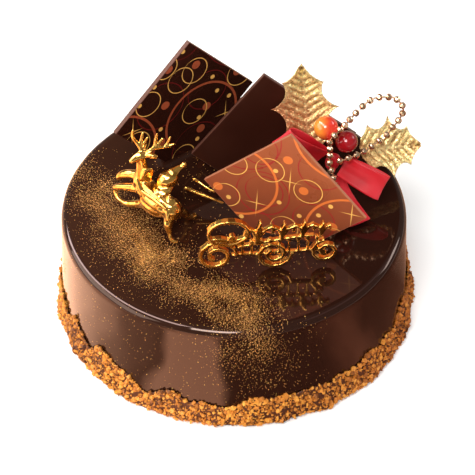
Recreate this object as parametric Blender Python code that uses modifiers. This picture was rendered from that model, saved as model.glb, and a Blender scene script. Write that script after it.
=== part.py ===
"""Mirror-glazed chocolate celebration cake, 15 cm across, with its crumb foot and its toppers.

The cake stands on Z = 0 with its axis on Z.  Its front faces -Y.  Heights above the glazed top are
called h, so a point at height h lies at Z = CAKE_HEIGHT + h.
"""
import math
import random

import bmesh
import bpy
from mathutils import Matrix, Vector

MM = 0.001
GAP = 0.3 * MM

# Cake body
CAKE_RADIUS = 75.0 * MM
FOOT_RADIUS = 76.2 * MM
CAKE_HEIGHT = 54.5 * MM
RIM_ROUNDING = 3.2 * MM
RIM_STEPS = 4
CAKE_STEPS = 72

# Crumbs pressed round the foot
CRUMB_RADIUS = 80.6 * MM
CRUMB_HEIGHT = 13.0 * MM
CRUMB_HEIGHT_SPREAD = 3.0 * MM
CRUMB_RADIUS_SPREAD = 1.0 * MM
CRUMB_STEPS = 72

# Chocolate squares, each standing on one corner that is pushed into the cake
SQUARE_SIDE = 51.0 * MM

# Berries, leaves, ribbon and beads
BERRY_ORANGE_DIAMETER = 10.7 * MM
BERRY_RED_DIAMETER = 10.0 * MM
LEAF_THICKNESS = 0.7 * MM
LEAF_SPIKES = 3.15
FIRST_SPIKE = 0.36
RIBBON_WIDTH = 11.5 * MM
RIBBON_TAIL_WIDTH = 10.0 * MM
RIBBON_THICKNESS = 0.7 * MM
BEAD_DIAMETER = 2.9 * MM
BEAD_PITCH = 4.4 * MM
BEAD_LINK_DIAMETER = 0.9 * MM

# Gold scrollwork and gold reindeer
SCROLL_DEPTH = 3.0 * MM
LILIES = ((26.4, 12.6, 5.6), (37.2, 9.2, 4.1), (46.0, 8.8, 3.9), (54.0, 7.4, 3.2))
LILY_LEAN = 0.16


def top_point(x, y, h):
    """A point given in millimetres, with its height measured from the glazed top."""
    return Vector((x * MM, y * MM, CAKE_HEIGHT + h * MM))


# ---------------------------------------------------------------- scene, collections, materials

for old in list(bpy.data.objects):
    bpy.data.objects.remove(old, do_unlink=True)


def make_collection(name):
    collection = bpy.data.collections.new(name)
    bpy.context.scene.collection.children.link(collection)
    return collection


CAKE = make_collection("chocolate_cake")
CUTTERS = make_collection("cutters")


def make_material(name, colour, roughness, metallic=0.0):
    material = bpy.data.materials.new(name)
    material.use_nodes = True
    shader = material.node_tree.nodes["Principled BSDF"]
    shader.inputs["Base Color"].default_value = (*colour, 1.0)
    shader.inputs["Roughness"].default_value = roughness
    shader.inputs["Metallic"].default_value = metallic
    return material


GLAZE = make_material("chocolate_glaze", (0.022, 0.008, 0.005), 0.08)
CRUMB = make_material("toasted_crumb", (0.52, 0.20, 0.05), 0.9)
DARK = make_material("dark_chocolate", (0.030, 0.010, 0.007), 0.3)
MILK = make_material("milk_chocolate", (0.20, 0.055, 0.025), 0.3)
GOLD = make_material("gold_plate", (0.90, 0.55, 0.16), 0.2, 1.0)
GLITTER = make_material("gold_glitter_leaf", (0.80, 0.50, 0.20), 0.5, 0.6)
ORANGE_BERRY = make_material("orange_berry", (0.80, 0.12, 0.03), 0.2)
RED_BERRY = make_material("red_berry", (0.25, 0.01, 0.01), 0.2)
RIBBON = make_material("red_ribbon", (0.55, 0.01, 0.02), 0.45)
WIRE = make_material("pick_wire", (0.45, 0.30, 0.12), 0.4, 1.0)


# ---------------------------------------------------------------- shared builders

def add_object(name, mesh, material, collection=CAKE):
    thing = bpy.data.objects.new(name, mesh)
    thing.data.materials.clear()
    thing.data.materials.append(material)
    collection.objects.link(thing)
    return thing


def hide_as_tool(thing):
    """Mark a cutter or a joined piece, which is not a part of its own."""
    thing.hide_render = True
    thing.display_type = "WIRE"
    return thing


def mesh_from_bmesh(name, shape):
    bmesh.ops.recalc_face_normals(shape, faces=shape.faces)
    mesh = bpy.data.meshes.new(name)
    shape.to_mesh(mesh)
    shape.free()
    return mesh


def mesh_from_curve(curve_object):
    """Turn a curve object into a closed mesh in world space and remove the curve."""
    bpy.context.view_layer.update()
    evaluated = curve_object.evaluated_get(bpy.context.evaluated_depsgraph_get())
    mesh = bpy.data.meshes.new_from_object(evaluated)
    mesh.transform(curve_object.matrix_world)
    bpy.data.objects.remove(curve_object, do_unlink=True)
    shape = bmesh.new()
    shape.from_mesh(mesh)
    bmesh.ops.remove_doubles(shape, verts=shape.verts, dist=0.00001)
    bmesh.ops.recalc_face_normals(shape, faces=shape.faces)
    shape.to_mesh(mesh)
    shape.free()
    return mesh


def tube(name, points, radii, material, collection, resolution=1):
    """A round rod through the points, with one radius for each of them."""
    curve = bpy.data.curves.new(name, "CURVE")
    curve.dimensions = "3D"
    curve.bevel_depth = 1.0
    curve.bevel_resolution = resolution
    curve.use_fill_caps = True
    spline = curve.splines.new("POLY")
    spline.points.add(len(points) - 1)
    for control, point, radius in zip(spline.points, points, radii):
        control.co = (*point, 1.0)
        control.radius = radius
    rod = bpy.data.objects.new(name, curve)
    bpy.context.scene.collection.objects.link(rod)
    return add_object(name, mesh_from_curve(rod), material, collection)


def ellipsoid(name, centre, half_sizes, turn, material, collection, rings=8):
    shape = bmesh.new()
    bmesh.ops.create_uvsphere(shape, u_segments=rings + 4, v_segments=rings, radius=1.0)
    place = Matrix.Translation(centre) @ turn.to_4x4() @ Matrix.Diagonal((*half_sizes, 1.0))
    bmesh.ops.transform(shape, matrix=place, verts=shape.verts)
    return add_object(name, mesh_from_bmesh(name, shape), material, collection)


def box(name, size, place, material, collection):
    shape = bmesh.new()
    bmesh.ops.create_cube(shape, size=1.0, matrix=place @ Matrix.Diagonal((*size, 1.0)))
    return add_object(name, mesh_from_bmesh(name, shape), material, collection)


def smooth_path(points, steps):
    """Catmull-Rom curve through the points, with the given steps between each two of them."""
    path = []
    last = len(points) - 1
    for index in range(last):
        before = points[max(index - 1, 0)]
        start = points[index]
        end = points[index + 1]
        after = points[min(index + 2, last)]
        for step in range(steps):
            t = step / steps
            path.append(0.5 * (2 * start + (end - before) * t
                               + (2 * before - 5 * start + 4 * end - after) * t * t
                               + (3 * start - before - 3 * end + after) * t * t * t))
    path.append(points[last])
    return path


def unite(pieces, name):
    """Join overlapping pieces into the first of them, which becomes the named node."""
    whole = pieces[0]
    whole.name = name
    tools = make_collection(name + "_pieces")
    for piece in pieces[1:]:
        for holder in piece.users_collection:
            holder.objects.unlink(piece)
        tools.objects.link(hide_as_tool(piece))
    join = whole.modifiers.new("join", "BOOLEAN")
    join.operation = "UNION"
    join.solver = "EXACT"
    join.operand_type = "COLLECTION"
    join.collection = tools
    flatten = whole.modifiers.new("flatten", "DECIMATE")
    flatten.decimate_type = "DISSOLVE"
    flatten.angle_limit = math.radians(0.5)
    return whole


def cut(target, cutters):
    for cutter in cutters:
        slot = target.modifiers.new(cutter.name, "BOOLEAN")
        slot.operation = "DIFFERENCE"
        slot.solver = "EXACT"
        slot.object = cutter


# ---------------------------------------------------------------- cake body

def side_radius(z):
    """Radius of the straight side at height z: it widens slightly towards the foot."""
    share = z / (CAKE_HEIGHT - RIM_ROUNDING)
    return FOOT_RADIUS + (CAKE_RADIUS - FOOT_RADIUS) * share


def make_cake_body():
    profile = bmesh.new()
    outline = [(0.0, CAKE_HEIGHT)]
    for step in range(RIM_STEPS + 1):
        angle = math.radians(90.0 * (1 - step / RIM_STEPS))
        outline.append((CAKE_RADIUS - RIM_ROUNDING * (1 - math.cos(angle)),
                        CAKE_HEIGHT - RIM_ROUNDING * (1 - math.sin(angle))))
    outline += [(FOOT_RADIUS, 0.0), (0.0, 0.0)]
    corners = [profile.verts.new((radius, 0.0, z)) for radius, z in outline]
    for upper, lower in zip(corners, corners[1:]):
        profile.edges.new((upper, lower))
    mesh = bpy.data.meshes.new("cake_body")
    profile.to_mesh(mesh)
    profile.free()
    body = add_object("cake_body", mesh, GLAZE)
    turn = body.modifiers.new("turn", "SCREW")
    turn.steps = CAKE_STEPS
    turn.render_steps = CAKE_STEPS
    turn.use_merge_vertices = True
    turn.merge_threshold = 0.00001
    return body


# ---------------------------------------------------------------- crumb foot

def waves(rng, count):
    """Random smooth unevenness round the cake, between about -1 and 1."""
    parts = [(rng.randint(3, 34), rng.uniform(0, math.tau)) for _ in range(count)]

    def value(angle):
        return sum(math.sin(turns * angle + phase) for turns, phase in parts) / math.sqrt(count)
    return value


def make_crumb_ring():
    """One solid out to the uneven outline of the crumbs, as a ring of unlike sections."""
    rng = random.Random(15)
    height_wave = waves(rng, 7)
    radius_wave = waves(rng, 9)
    shape = bmesh.new()
    rings = []
    for step in range(CRUMB_STEPS):
        angle = math.tau * step / CRUMB_STEPS
        top = CRUMB_HEIGHT + CRUMB_HEIGHT_SPREAD * max(-1.0, min(1.1, height_wave(angle)))
        reach = CRUMB_RADIUS + CRUMB_RADIUS_SPREAD * max(-1.0, min(1.2, radius_wave(angle)))
        reach += 0.7 * MM * math.cos(angle)
        lumps = [rng.uniform(-0.4, 0.4) * MM for _ in range(3)]
        inner_foot = side_radius(0.0) + GAP
        inner_top = side_radius(top) + GAP
        section = [
            (inner_foot, 0.0),
            (reach - 1.2 * MM, 0.0),
            (reach, 2.0 * MM),
            (reach - 0.5 * MM + lumps[0], 0.45 * top),
            (reach - 1.7 * MM + lumps[1], 0.75 * top),
            (inner_top + 1.4 * MM, top),
            (inner_top, top - 0.6 * MM + lumps[2]),
        ]
        ring = [shape.verts.new((radius * math.cos(angle), radius * math.sin(angle), z))
                for radius, z in section]
        rings.append(ring)
    for here, there in zip(rings, rings[1:] + rings[:1]):
        for index in range(len(here)):
            following = (index + 1) % len(here)
            shape.faces.new((here[index], here[following], there[following], there[index]))
    return add_object("crumb_ring", mesh_from_bmesh("crumb_ring", shape), CRUMB)


# ---------------------------------------------------------------- chocolate squares

def square_place(centre, yaw, lean, roll):
    """Front face at the local origin, facing local -Y, standing on one corner.

    yaw turns the face to the right, lean tips the top back, roll lifts the right corner.
    """
    turn = (Matrix.Rotation(math.radians(yaw), 4, "Z")
            @ Matrix.Rotation(math.radians(-lean), 4, "X")
            @ Matrix.Rotation(math.radians(45.0 - roll), 4, "Y"))
    return Matrix.Translation(centre) @ turn


def make_square(name, centre, yaw, lean, roll, thickness, material):
    place = square_place(centre, yaw, lean, roll) @ Matrix.Translation((0, thickness / 2, 0))
    plate = box(name, (SQUARE_SIDE, thickness, SQUARE_SIDE), Matrix.Identity(4), material, CAKE)
    plate.matrix_world = place
    edge = plate.modifiers.new("edge", "BEVEL")
    edge.width = 0.25 * MM
    edge.segments = 1
    room = 2 * GAP
    cutter = box(name + "_slot", (SQUARE_SIDE + room, thickness + room, SQUARE_SIDE + room),
                 place, material, CUTTERS)
    return hide_as_tool(cutter)


def make_squares():
    return [
        make_square("square_dark_printed", top_point(-21.3, 36.2, 26.8), 34.5, 1.0, -4.8,
                    2.2 * MM, DARK),
        make_square("square_dark_plain", top_point(17.3, 18.7, 21.4), 1.7, 9.1, 6.5,
                    2.0 * MM, DARK),
        make_square("square_milk_printed", top_point(21.7, -16.1, 21.8), -16.5, 3.0, -2.4,
                    1.5 * MM, MILK),
    ]


# ---------------------------------------------------------------- holly leaves

def leaf_half_width(t, widest, spikes):
    """Half width at t from 0 at the stalk to 1 at the tip, with spikes between hollows."""
    taper = math.sin(math.pi * (0.11 + 0.86 * t)) ** 0.8
    phase = (t * spikes - FIRST_SPIKE) % 1.0
    hollow = 1.0 - 0.38 * math.sin(math.pi * phase) ** 0.7
    point = max(0.0, 1.0 - t) ** 0.22
    return max(0.2 * MM, widest * taper * hollow * point)


def make_leaf(name, stalk, tip, face, widest, spikes):
    """A creased holly leaf from stalk to tip, turned to the direction called face."""
    along = tip - stalk
    axis = along.normalized()
    side = axis.cross(face).normalized()
    lift = side.cross(axis).normalized()
    rows = 21
    columns = (-1.0, -0.5, 0.0, 0.5, 1.0)
    shape = bmesh.new()
    grid = []
    for row in range(rows + 1):
        t = row / rows
        half = leaf_half_width(t, widest, spikes)
        line = []
        for share in columns:
            forward = 0.10 * widest * abs(share) * math.sin(math.pi * t)
            crease = 0.16 * widest * abs(share) - 0.05 * widest * math.sin(math.pi * t)
            place = stalk + along * t + axis * forward + side * (half * share) + lift * crease
            line.append(shape.verts.new(place))
        grid.append(line)
    for lower, upper in zip(grid, grid[1:]):
        for index in range(len(columns) - 1):
            shape.faces.new((lower[index], lower[index + 1], upper[index + 1], upper[index]))
    leaf = add_object(name, mesh_from_bmesh(name, shape), GLITTER)
    wall = leaf.modifiers.new("wall", "SOLIDIFY")
    wall.thickness = LEAF_THICKNESS
    wall.offset = 0.0
    return leaf


# ---------------------------------------------------------------- ribbon bow

def ribbon_strip(name, path, width_directions, width):
    """A flat ribbon whose middle line follows path, given thickness by Solidify."""
    shape = bmesh.new()
    rows = []
    for point, across in zip(path, width_directions):
        reach = across.normalized() * width / 2
        rows.append([shape.verts.new(point - reach), shape.verts.new(point + reach)])
    for here, there in zip(rows, rows[1:]):
        shape.faces.new((here[0], here[1], there[1], there[0]))
    strip = add_object(name, mesh_from_bmesh(name, shape), RIBBON)
    wall = strip.modifiers.new("wall", "SOLIDIFY")
    wall.thickness = RIBBON_THICKNESS
    wall.offset = 0.0
    return strip


def make_bow_loop(name, root, end, across, puff):
    """A loop of ribbon that leaves the knot, folds over at its end and comes back."""
    along = end - root
    across = (across - along * across.dot(along) / along.length_squared).normalized()
    lift = along.normalized().cross(across)
    steps = 20
    path = []
    for step in range(steps + 1):
        angle = math.radians(14.0 + (360.0 - 28.0) * step / steps)
        reach = 0.5 - 0.5 * math.cos(angle)
        bulge = math.sin(angle) * (0.35 + 0.65 * reach)
        path.append(root + along * reach + lift * (puff * bulge))
    return ribbon_strip(name, path, [across] * len(path), RIBBON_WIDTH)


def make_bow():
    root = top_point(42.5, 11.0, 19.0)
    make_bow_loop("bow_loop_left", root + Vector((-4.0, -1.5, 3.6)) * MM,
                  top_point(20.4, 5.0, 38.6), Vector((0.50, -0.10, 0.86)), 3.2 * MM)
    make_bow_loop("bow_loop_right", root + Vector((4.0, -2.6, -0.4)) * MM,
                  top_point(64.5, 0.0, 13.0), Vector((0.42, 0.46, 0.78)), 3.6 * MM)
    tail_points = [top_point(43.5, 8.5, 11.0), top_point(45.2, 4.5, 7.4), top_point(48.0, 0.5, 4.2),
                   top_point(51.5, -4.5, 2.2), top_point(54.5, -10.0, 1.6)]
    path = smooth_path(tail_points, 4)
    across = Vector((1.0, 0.55, 0.05))
    ribbon_strip("bow_tail", path, [across] * len(path), RIBBON_TAIL_WIDTH)
    ellipsoid("bow_knot", root + Vector((0.2, -0.4, -0.2)) * MM,
              (3.3 * MM, 3.0 * MM, 4.6 * MM), Matrix.Rotation(0.3, 3, "Y"), RIBBON, CAKE)


# ---------------------------------------------------------------- berries, beads and pick wire

ORANGE_PLACE = top_point(39.5, 10.0, 39.1)
RED_PLACE = top_point(48.5, 11.0, 30.1)


def make_berries():
    level = Matrix.Identity(3)
    orange = BERRY_ORANGE_DIAMETER / 2
    red = BERRY_RED_DIAMETER / 2
    ellipsoid("berry_orange", ORANGE_PLACE, (orange, orange, orange), level, ORANGE_BERRY, CAKE, 10)
    ellipsoid("berry_red", RED_PLACE, (red, red, red), level, RED_BERRY, CAKE, 10)


BEAD_ROUTE = [
    (46.4, 0.0, 9.8), (43.7, 1.5, 14.0), (42.5, 2.5, 19.0), (41.1, 3.0, 25.0), (41.2, 3.0, 31.0),
    (41.0, 2.4, 38.2), (44.0, 3.6, 42.0), (47.6, 9.5, 41.2), (50.7, 14.0, 41.7),
    (53.7, 17.0, 43.1), (57.1, 18.5, 46.1), (60.7, 19.5, 47.8), (65.3, 20.5, 47.4),
    (69.0, 21.0, 46.4), (72.3, 21.0, 42.4), (72.8, 20.5, 38.7), (70.8, 20.0, 33.9),
    (67.9, 19.0, 30.1), (65.2, 17.0, 27.3), (61.4, 15.0, 25.6), (57.9, 12.5, 24.4),
    (54.0, 9.5, 24.3), (49.7, 6.6, 24.6), (45.6, 4.5, 24.8),
]


def walk(path, pitch):
    """Points spaced evenly along a path."""
    spots = [path[0]]
    left = pitch
    for here, there in zip(path, path[1:]):
        run = (there - here).length
        while run >= left:
            here = here + (there - here) * (left / run)
            run = (there - here).length
            spots.append(here)
            left = pitch
        left -= run
    return spots


def make_bead_chain():
    """Beads on a thread, as one rod that swells at each bead."""
    route = smooth_path([top_point(*spot) for spot in BEAD_ROUTE], 6)
    beads = walk(route, BEAD_PITCH)
    points = []
    radii = []
    bead = BEAD_DIAMETER / 2
    link = BEAD_LINK_DIAMETER / 2
    for index, spot in enumerate(beads):
        ahead = beads[min(index + 1, len(beads) - 1)]
        behind = beads[max(index - 1, 0)]
        axis = (ahead - behind).normalized()
        for offset, radius in ((-0.92, link), (-0.5, 0.87 * bead), (0.5, 0.87 * bead), (0.92, link)):
            points.append(spot + axis * (offset * bead))
            radii.append(radius)
    return tube("bead_chain", points, radii, GOLD, CAKE, 1)


def make_pick_wire():
    """The wire that carries berries, leaves and bow, pushed into the cake behind the bow."""
    foot = top_point(41.0, 15.5, -14.0)
    head = top_point(41.5, 15.8, 27.0)
    radius = 0.7 * MM
    tube("pick_wire", [foot, head], [radius, radius], WIRE, CAKE, 2)
    end = top_point(41.2, 15.5, 6.0)
    start = foot - Vector((0, 0, GAP))
    bore = tube("pick_wire_bore", [start, end], [radius + GAP, radius + GAP], WIRE, CUTTERS, 2)
    return hide_as_tool(bore)


# ---------------------------------------------------------------- gold scrollwork

SCROLL_ORIGIN = top_point(-16.8, -40.3, 0.3)
SCROLL_YAW = math.radians(5.6)


def scroll_place():
    """Local X runs along the foot of the scrollwork, local Y up and local Z towards the front."""
    stand = Matrix.Rotation(math.radians(90), 4, "X")
    return Matrix.Translation(SCROLL_ORIGIN) @ Matrix.Rotation(SCROLL_YAW, 4, "Z") @ stand


def flat_piece(name, outlines, depth):
    """A flat outline, with any holes in it, given a depth and stood up in the scrollwork's plane."""
    curve = bpy.data.curves.new(name, "CURVE")
    curve.dimensions = "2D"
    curve.fill_mode = "BOTH"
    curve.extrude = depth / 2
    for outline in outlines:
        spline = curve.splines.new("POLY")
        spline.use_cyclic_u = True
        spline.points.add(len(outline) - 1)
        for control, (u, v) in zip(spline.points, outline):
            control.co = (u, v, 0.0, 1.0)
    flat = bpy.data.objects.new(name, curve)
    bpy.context.scene.collection.objects.link(flat)
    flat.matrix_world = scroll_place() @ Matrix.Translation((0, 0, -SCROLL_DEPTH / 2))
    return add_object(name, mesh_from_curve(flat), GOLD, CAKE)


def oval(centre_u, centre_v, half_u, half_v, steps=20):
    return [((centre_u + half_u * math.cos(math.tau * step / steps)) * MM,
             (centre_v + half_v * math.sin(math.tau * step / steps)) * MM) for step in range(steps)]


def flat_ring(name, centre_u, centre_v, half_u, half_v, line, depth):
    outer = oval(centre_u, centre_v, half_u, half_v)
    inner = oval(centre_u, centre_v, half_u - line, half_v - line)
    return flat_piece(name, [outer, inner], depth * MM)


def flat_disc(name, centre_u, centre_v, radius, depth):
    return flat_piece(name, [oval(centre_u, centre_v, radius, radius, 6)], depth * MM)


def flat_stroke(name, points, start_width, middle_width, end_width, depth):
    """A stroke along the points, in millimetres, that swells from its start to its middle."""
    left = []
    right = []
    last = len(points) - 1
    for index, (u, v) in enumerate(points):
        ahead = points[min(index + 1, last)]
        behind = points[max(index - 1, 0)]
        run = Vector((ahead[0] - behind[0], ahead[1] - behind[1])).normalized()
        t = index / last
        ends = start_width * (1 - t) + end_width * t
        half = 0.5 * (ends + (middle_width - ends) * math.sin(math.pi * t))
        left.append(((u - run.y * half) * MM, (v + run.x * half) * MM))
        right.append(((u + run.y * half) * MM, (v - run.x * half) * MM))
    return flat_piece(name, [left + right[::-1]], depth * MM)


def volute(centre_u, centre_v, outer, inner, start, turns, steps):
    """Points of a spiral that winds inwards from its outer radius."""
    spots = []
    for step in range(steps + 1):
        t = step / steps
        angle = math.radians(start) + math.tau * turns * t
        radius = outer + (inner - outer) * t
        spots.append((centre_u + radius * math.cos(angle), centre_v + radius * math.sin(angle)))
    return spots


def stem_height(u):
    """Height of the stem under the lilies above the foot of the scrollwork, in millimetres."""
    return 13.6 + 4.2 * math.sin(math.pi * (u - 18.5) / 66.0)


def lily(name, foot_u, rise, reach):
    """A lily on the stem: an upright petal between two that curl outwards."""
    foot_v = stem_height(foot_u)
    petals = [flat_stroke(name + "_petal",
                          [(foot_u + LILY_LEAN * rise * share, foot_v + rise * share)
                           for share in (0.0, 0.35, 0.7, 1.0)], 1.1, 2.5, 0.7, 2.6)]
    for side, label in ((-1, "left"), (1, "right")):
        curl = [(foot_u + side * reach * out + LILY_LEAN * rise * up, foot_v + rise * up)
                for out, up in ((0.0, 0.12), (0.45, 0.60), (0.95, 0.74), (1.1, 0.44))]
        petals.append(flat_stroke("%s_%s" % (name, label), curl, 1.0, 1.5, 1.2, 2.4))
    return petals


def make_scrollwork():
    """Volutes, a ring, a cresting of lilies and a row of pegs, all one plated piece."""
    pieces = [
        flat_ring("scroll_ring_top", 14.6, 22.3, 9.3, 7.4, 1.4, 3.0),
        flat_stroke("scroll_low", volute(9.5, 9.4, 8.8, 2.4, 0.0, 1.7, 21), 1.3, 1.7, 1.5, 2.8),
        flat_stroke("scroll_middle", volute(34.0, 8.6, 8.0, 2.2, 0.0, -1.7, 19), 1.3, 1.6, 1.5, 2.8),
    ]
    crossbar = [(6.0 + 2.6 * step, 18.4 + 0.9 * math.sin(step * 1.15)) for step in range(8)]
    pieces.append(flat_stroke("scroll_crossbar", crossbar, 1.3, 1.9, 1.3, 2.4))
    pieces.append(flat_disc("scroll_finial", 16.2, 19.6, 1.7, 2.6))
    rail = [(16.0 + 4.4 * step, 9.2 + 0.4 * math.sin(step * 1.8)) for step in range(10)]
    pieces.append(flat_stroke("scroll_rail", rail, 1.1, 1.3, 1.1, 2.0))
    stem = [(18.5 + 4.1 * step, stem_height(18.5 + 4.1 * step)) for step in range(9)]
    pieces.append(flat_stroke("scroll_stem", stem, 1.2, 1.2, 1.0, 2.2))
    for index, (foot_u, rise, reach) in enumerate(LILIES):
        pieces.extend(lily("scroll_lily_%d" % index, foot_u, rise, reach))
    for index in range(9):
        post_u = 20.5 + 4.0 * index
        post = [(post_u, 8.4), (post_u, 16.4)]
        pieces.append(flat_stroke("scroll_post_%d" % index, post, 1.0, 1.0, 1.0, 1.8))
        pieces.append(flat_disc("scroll_post_top_%d" % index, post_u, 16.4, 1.15, 2.3))
    closing = volute(56.3, 8.4, 6.6, 1.6, 95.0, 1.5, 16)
    pieces.append(flat_stroke("scroll_volute", closing, 1.2, 1.5, 1.6, 2.8))
    pieces.append(flat_disc("scroll_volute_eye", 55.0, 8.4, 1.5, 2.5))
    return unite(pieces, "gold_scrollwork")


# ---------------------------------------------------------------- gold reindeer

def limb(name, spots, radii):
    points = [top_point(*spot) for spot in spots]
    return tube(name, points, [radius * MM for radius in radii], GOLD, CAKE, 1)


def blob(name, spot, half_sizes, heading=0.0, pitch=0.0):
    turn = (Matrix.Rotation(math.radians(heading), 3, "Z")
            @ Matrix.Rotation(math.radians(pitch), 3, "Y"))
    return ellipsoid(name, top_point(*spot), [size * MM for size in half_sizes], turn, GOLD, CAKE, 5)


def make_reindeer():
    """A leaping reindeer with harness, saddle and bundle, heading to the back left."""
    pieces = [
        limb("deer_body",
             [(-26.5, -13.5, 12.4), (-31.0, -10.4, 14.6), (-35.6, -6.4, 16.0), (-39.4, -2.4, 17.6)],
             [4.6, 5.6, 5.4, 4.8]),
        limb("deer_neck",
             [(-38.6, -2.0, 19.5), (-39.4, -1.0, 25.0), (-39.8, -0.4, 31.5)], [4.2, 3.2, 2.2]),
        limb("deer_head",
             [(-37.6, 0.4, 32.6), (-40.2, -0.8, 33.0), (-43.2, -2.2, 31.8), (-44.6, -2.8, 30.8)],
             [2.0, 2.3, 1.5, 1.1]),
        limb("deer_ear_right",
             [(-37.8, -0.8, 33.2), (-35.0, -1.8, 33.8), (-32.4, -2.4, 33.6)], [0.9, 1.7, 0.6]),
        limb("deer_ear_left",
             [(-38.6, 1.0, 33.6), (-38.2, 3.8, 34.8), (-37.8, 5.6, 34.6)], [0.9, 1.5, 0.6]),
        limb("antler_left",
             [(-38.8, 0.2, 34.0), (-41.2, 1.6, 37.4), (-43.6, 3.0, 40.4), (-43.0, 3.4, 44.2)],
             [1.0, 0.9, 0.9, 0.7]),
        limb("antler_left_tine_a",
             [(-40.0, 1.0, 36.0), (-39.6, 2.4, 39.6), (-38.8, 3.4, 42.8)], [0.8, 0.8, 0.6]),
        limb("antler_left_tine_b",
             [(-39.4, 1.6, 37.0), (-37.8, 2.4, 38.4), (-36.8, 2.8, 40.4)], [0.8, 0.8, 0.6]),
        limb("antler_right",
             [(-37.4, 0.0, 34.0), (-33.8, 1.0, 36.0), (-29.4, 2.0, 35.2), (-25.0, 2.6, 36.8)],
             [1.0, 0.9, 0.9, 0.7]),
        limb("antler_right_tine_a",
             [(-33.8, 1.0, 35.8), (-33.6, 2.2, 39.4), (-32.6, 3.0, 42.6)], [0.8, 0.8, 0.6]),
        limb("antler_right_tine_b",
             [(-33.2, 1.4, 36.4), (-31.4, 2.4, 38.2), (-30.2, 3.0, 39.8)], [0.8, 0.8, 0.6]),
        limb("antler_right_tine_c",
             [(-29.4, 2.0, 35.2), (-28.2, 2.8, 37.4), (-27.0, 3.2, 40.4)], [0.8, 0.8, 0.6]),
        limb("fore_leg_near",
             [(-39.0, -3.6, 16.4), (-43.6, -1.5, 15.0), (-49.0, 2.0, 12.2), (-52.0, 3.8, 9.8)],
             [3.2, 2.3, 1.7, 1.6]),
        limb("fore_leg_far",
             [(-38.6, 1.0, 18.6), (-43.8, 4.6, 17.2), (-48.4, 7.0, 14.8), (-50.6, 7.6, 11.4)],
             [3.0, 2.5, 2.3, 1.6]),
        limb("hind_leg_near",
             [(-26.8, -14.5, 12.0), (-28.6, -18.5, 8.4), (-27.6, -19.6, 4.8), (-27.0, -21.2, 1.6),
              (-23.8, -21.6, 1.5)],
             [3.4, 2.2, 1.2, 1.2, 0.9]),
        limb("hind_leg_far",
             [(-24.8, -12.4, 12.0), (-21.6, -10.8, 8.6), (-20.2, -9.0, 5.0), (-19.0, -7.4, 2.2),
              (-16.2, -5.2, 1.9)],
             [3.2, 2.4, 1.8, 1.6, 1.3]),
        blob("deer_haunch", (-27.0, -13.0, 13.0), (5.2, 5.8, 5.6), 35),
        blob("deer_chest", (-39.4, -1.6, 19.0), (4.6, 4.8, 5.0), 35),
        blob("deer_flank", (-34.8, -9.0, 11.2), (8.4, 4.6, 4.4), -48),
        blob("saddle", (-30.4, -8.0, 20.2), (5.2, 4.6, 1.8), 35, -14),
        blob("bundle_low", (-28.2, -5.0, 23.0), (5.4, 4.4, 4.2), 20, -10),
        limb("bundle_high",
             [(-26.6, -4.2, 25.4), (-24.2, -2.8, 27.0), (-22.0, -1.8, 27.8)], [3.0, 1.8, 1.0]),
        blob("bundle_knot", (-21.4, -1.6, 28.2), (1.5, 1.5, 1.7)),
        limb("harness_strap",
             [(-41.6, -5.2, 24.4), (-40.4, -7.2, 20.0), (-37.4, -10.4, 15.4)], [0.9, 1.2, 0.9]),
        limb("trace_near",
             [(-41.4, -6.6, 19.0), (-35.0, -11.6, 18.4), (-28.8, -17.0, 16.6)], [0.9, 0.9, 0.9]),
        limb("girth",
             [(-33.0, -9.0, 21.0), (-32.4, -13.8, 16.4), (-34.4, -13.2, 11.6)], [1.0, 1.2, 1.0]),
        limb("breeching",
             [(-27.6, -11.0, 19.2), (-28.2, -16.6, 15.4), (-28.6, -18.6, 11.0)], [0.9, 1.1, 0.9]),
        limb("fore_arc",
             [(-52.0, 3.8, 9.8), (-50.4, 0.2, 6.2), (-46.4, -1.6, 4.8), (-41.0, -4.4, 8.0),
              (-36.0, -9.0, 11.0)],
             [1.0, 1.2, 1.6, 2.2, 2.4]),
    ]
    plate = Matrix.Translation(top_point(-37.0, -3.8, 25.0)) @ Matrix.Rotation(math.radians(18), 4, "Z")
    plate = plate @ Matrix.Rotation(math.radians(14), 4, "Y")
    pieces.append(box("harness_plate", (5.2 * MM, 1.6 * MM, 7.0 * MM), plate, GOLD, CAKE))
    return unite(pieces, "gold_reindeer")


def make_rods():
    """Two slim gold runners that reach from the reindeer to behind the milk chocolate square."""
    limb("gold_runner_low",
         [(-21.4, 3.0, 10.6), (-19.2, 2.4, 9.6), (-12.0, 0.4, 7.8), (-7.4, -1.0, 6.6),
          (-4.2, -1.6, 5.4)],
         [1.3, 1.1, 0.9, 0.7, 0.7])
    limb("gold_runner_high",
         [(-17.8, 6.6, 12.6), (-15.6, 6.0, 11.4), (-11.6, 3.4, 9.8), (-8.0, 1.8, 8.6)],
         [0.9, 0.8, 0.7, 0.7])


# ---------------------------------------------------------------- build

def main():
    body = make_cake_body()
    make_crumb_ring()
    cutters = make_squares()
    make_leaf("leaf_upright", top_point(32.5, 15.0, 23.6), top_point(28.9, 27.0, 61.0),
              Vector((-0.1, -0.93, 0.36)), 16.8 * MM, LEAF_SPIKES)
    make_leaf("leaf_right", top_point(54.6, 17.0, 20.0), top_point(80.6, 24.5, 15.4),
              Vector((0.1, -0.62, 0.78)), 15.8 * MM, LEAF_SPIKES)
    make_bow()
    make_berries()
    make_bead_chain()
    cutters.append(make_pick_wire())
    make_scrollwork()
    make_reindeer()
    make_rods()
    cut(body, cutters)


main()
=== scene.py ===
"""Finish for a mirror-glazed chocolate celebration cake, laid out as an add-on and run as a script.

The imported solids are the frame.  Every piece here is in metres in that frame: the cake stands on
Z = 0 with its axis on Z, and its front faces -Y.  Heights above the glazed top are called h.
"""

import math

import bmesh
import bpy
from bpy.props import FloatProperty, FloatVectorProperty, IntProperty, PointerProperty
from mathutils import Matrix, Vector, noise


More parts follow.
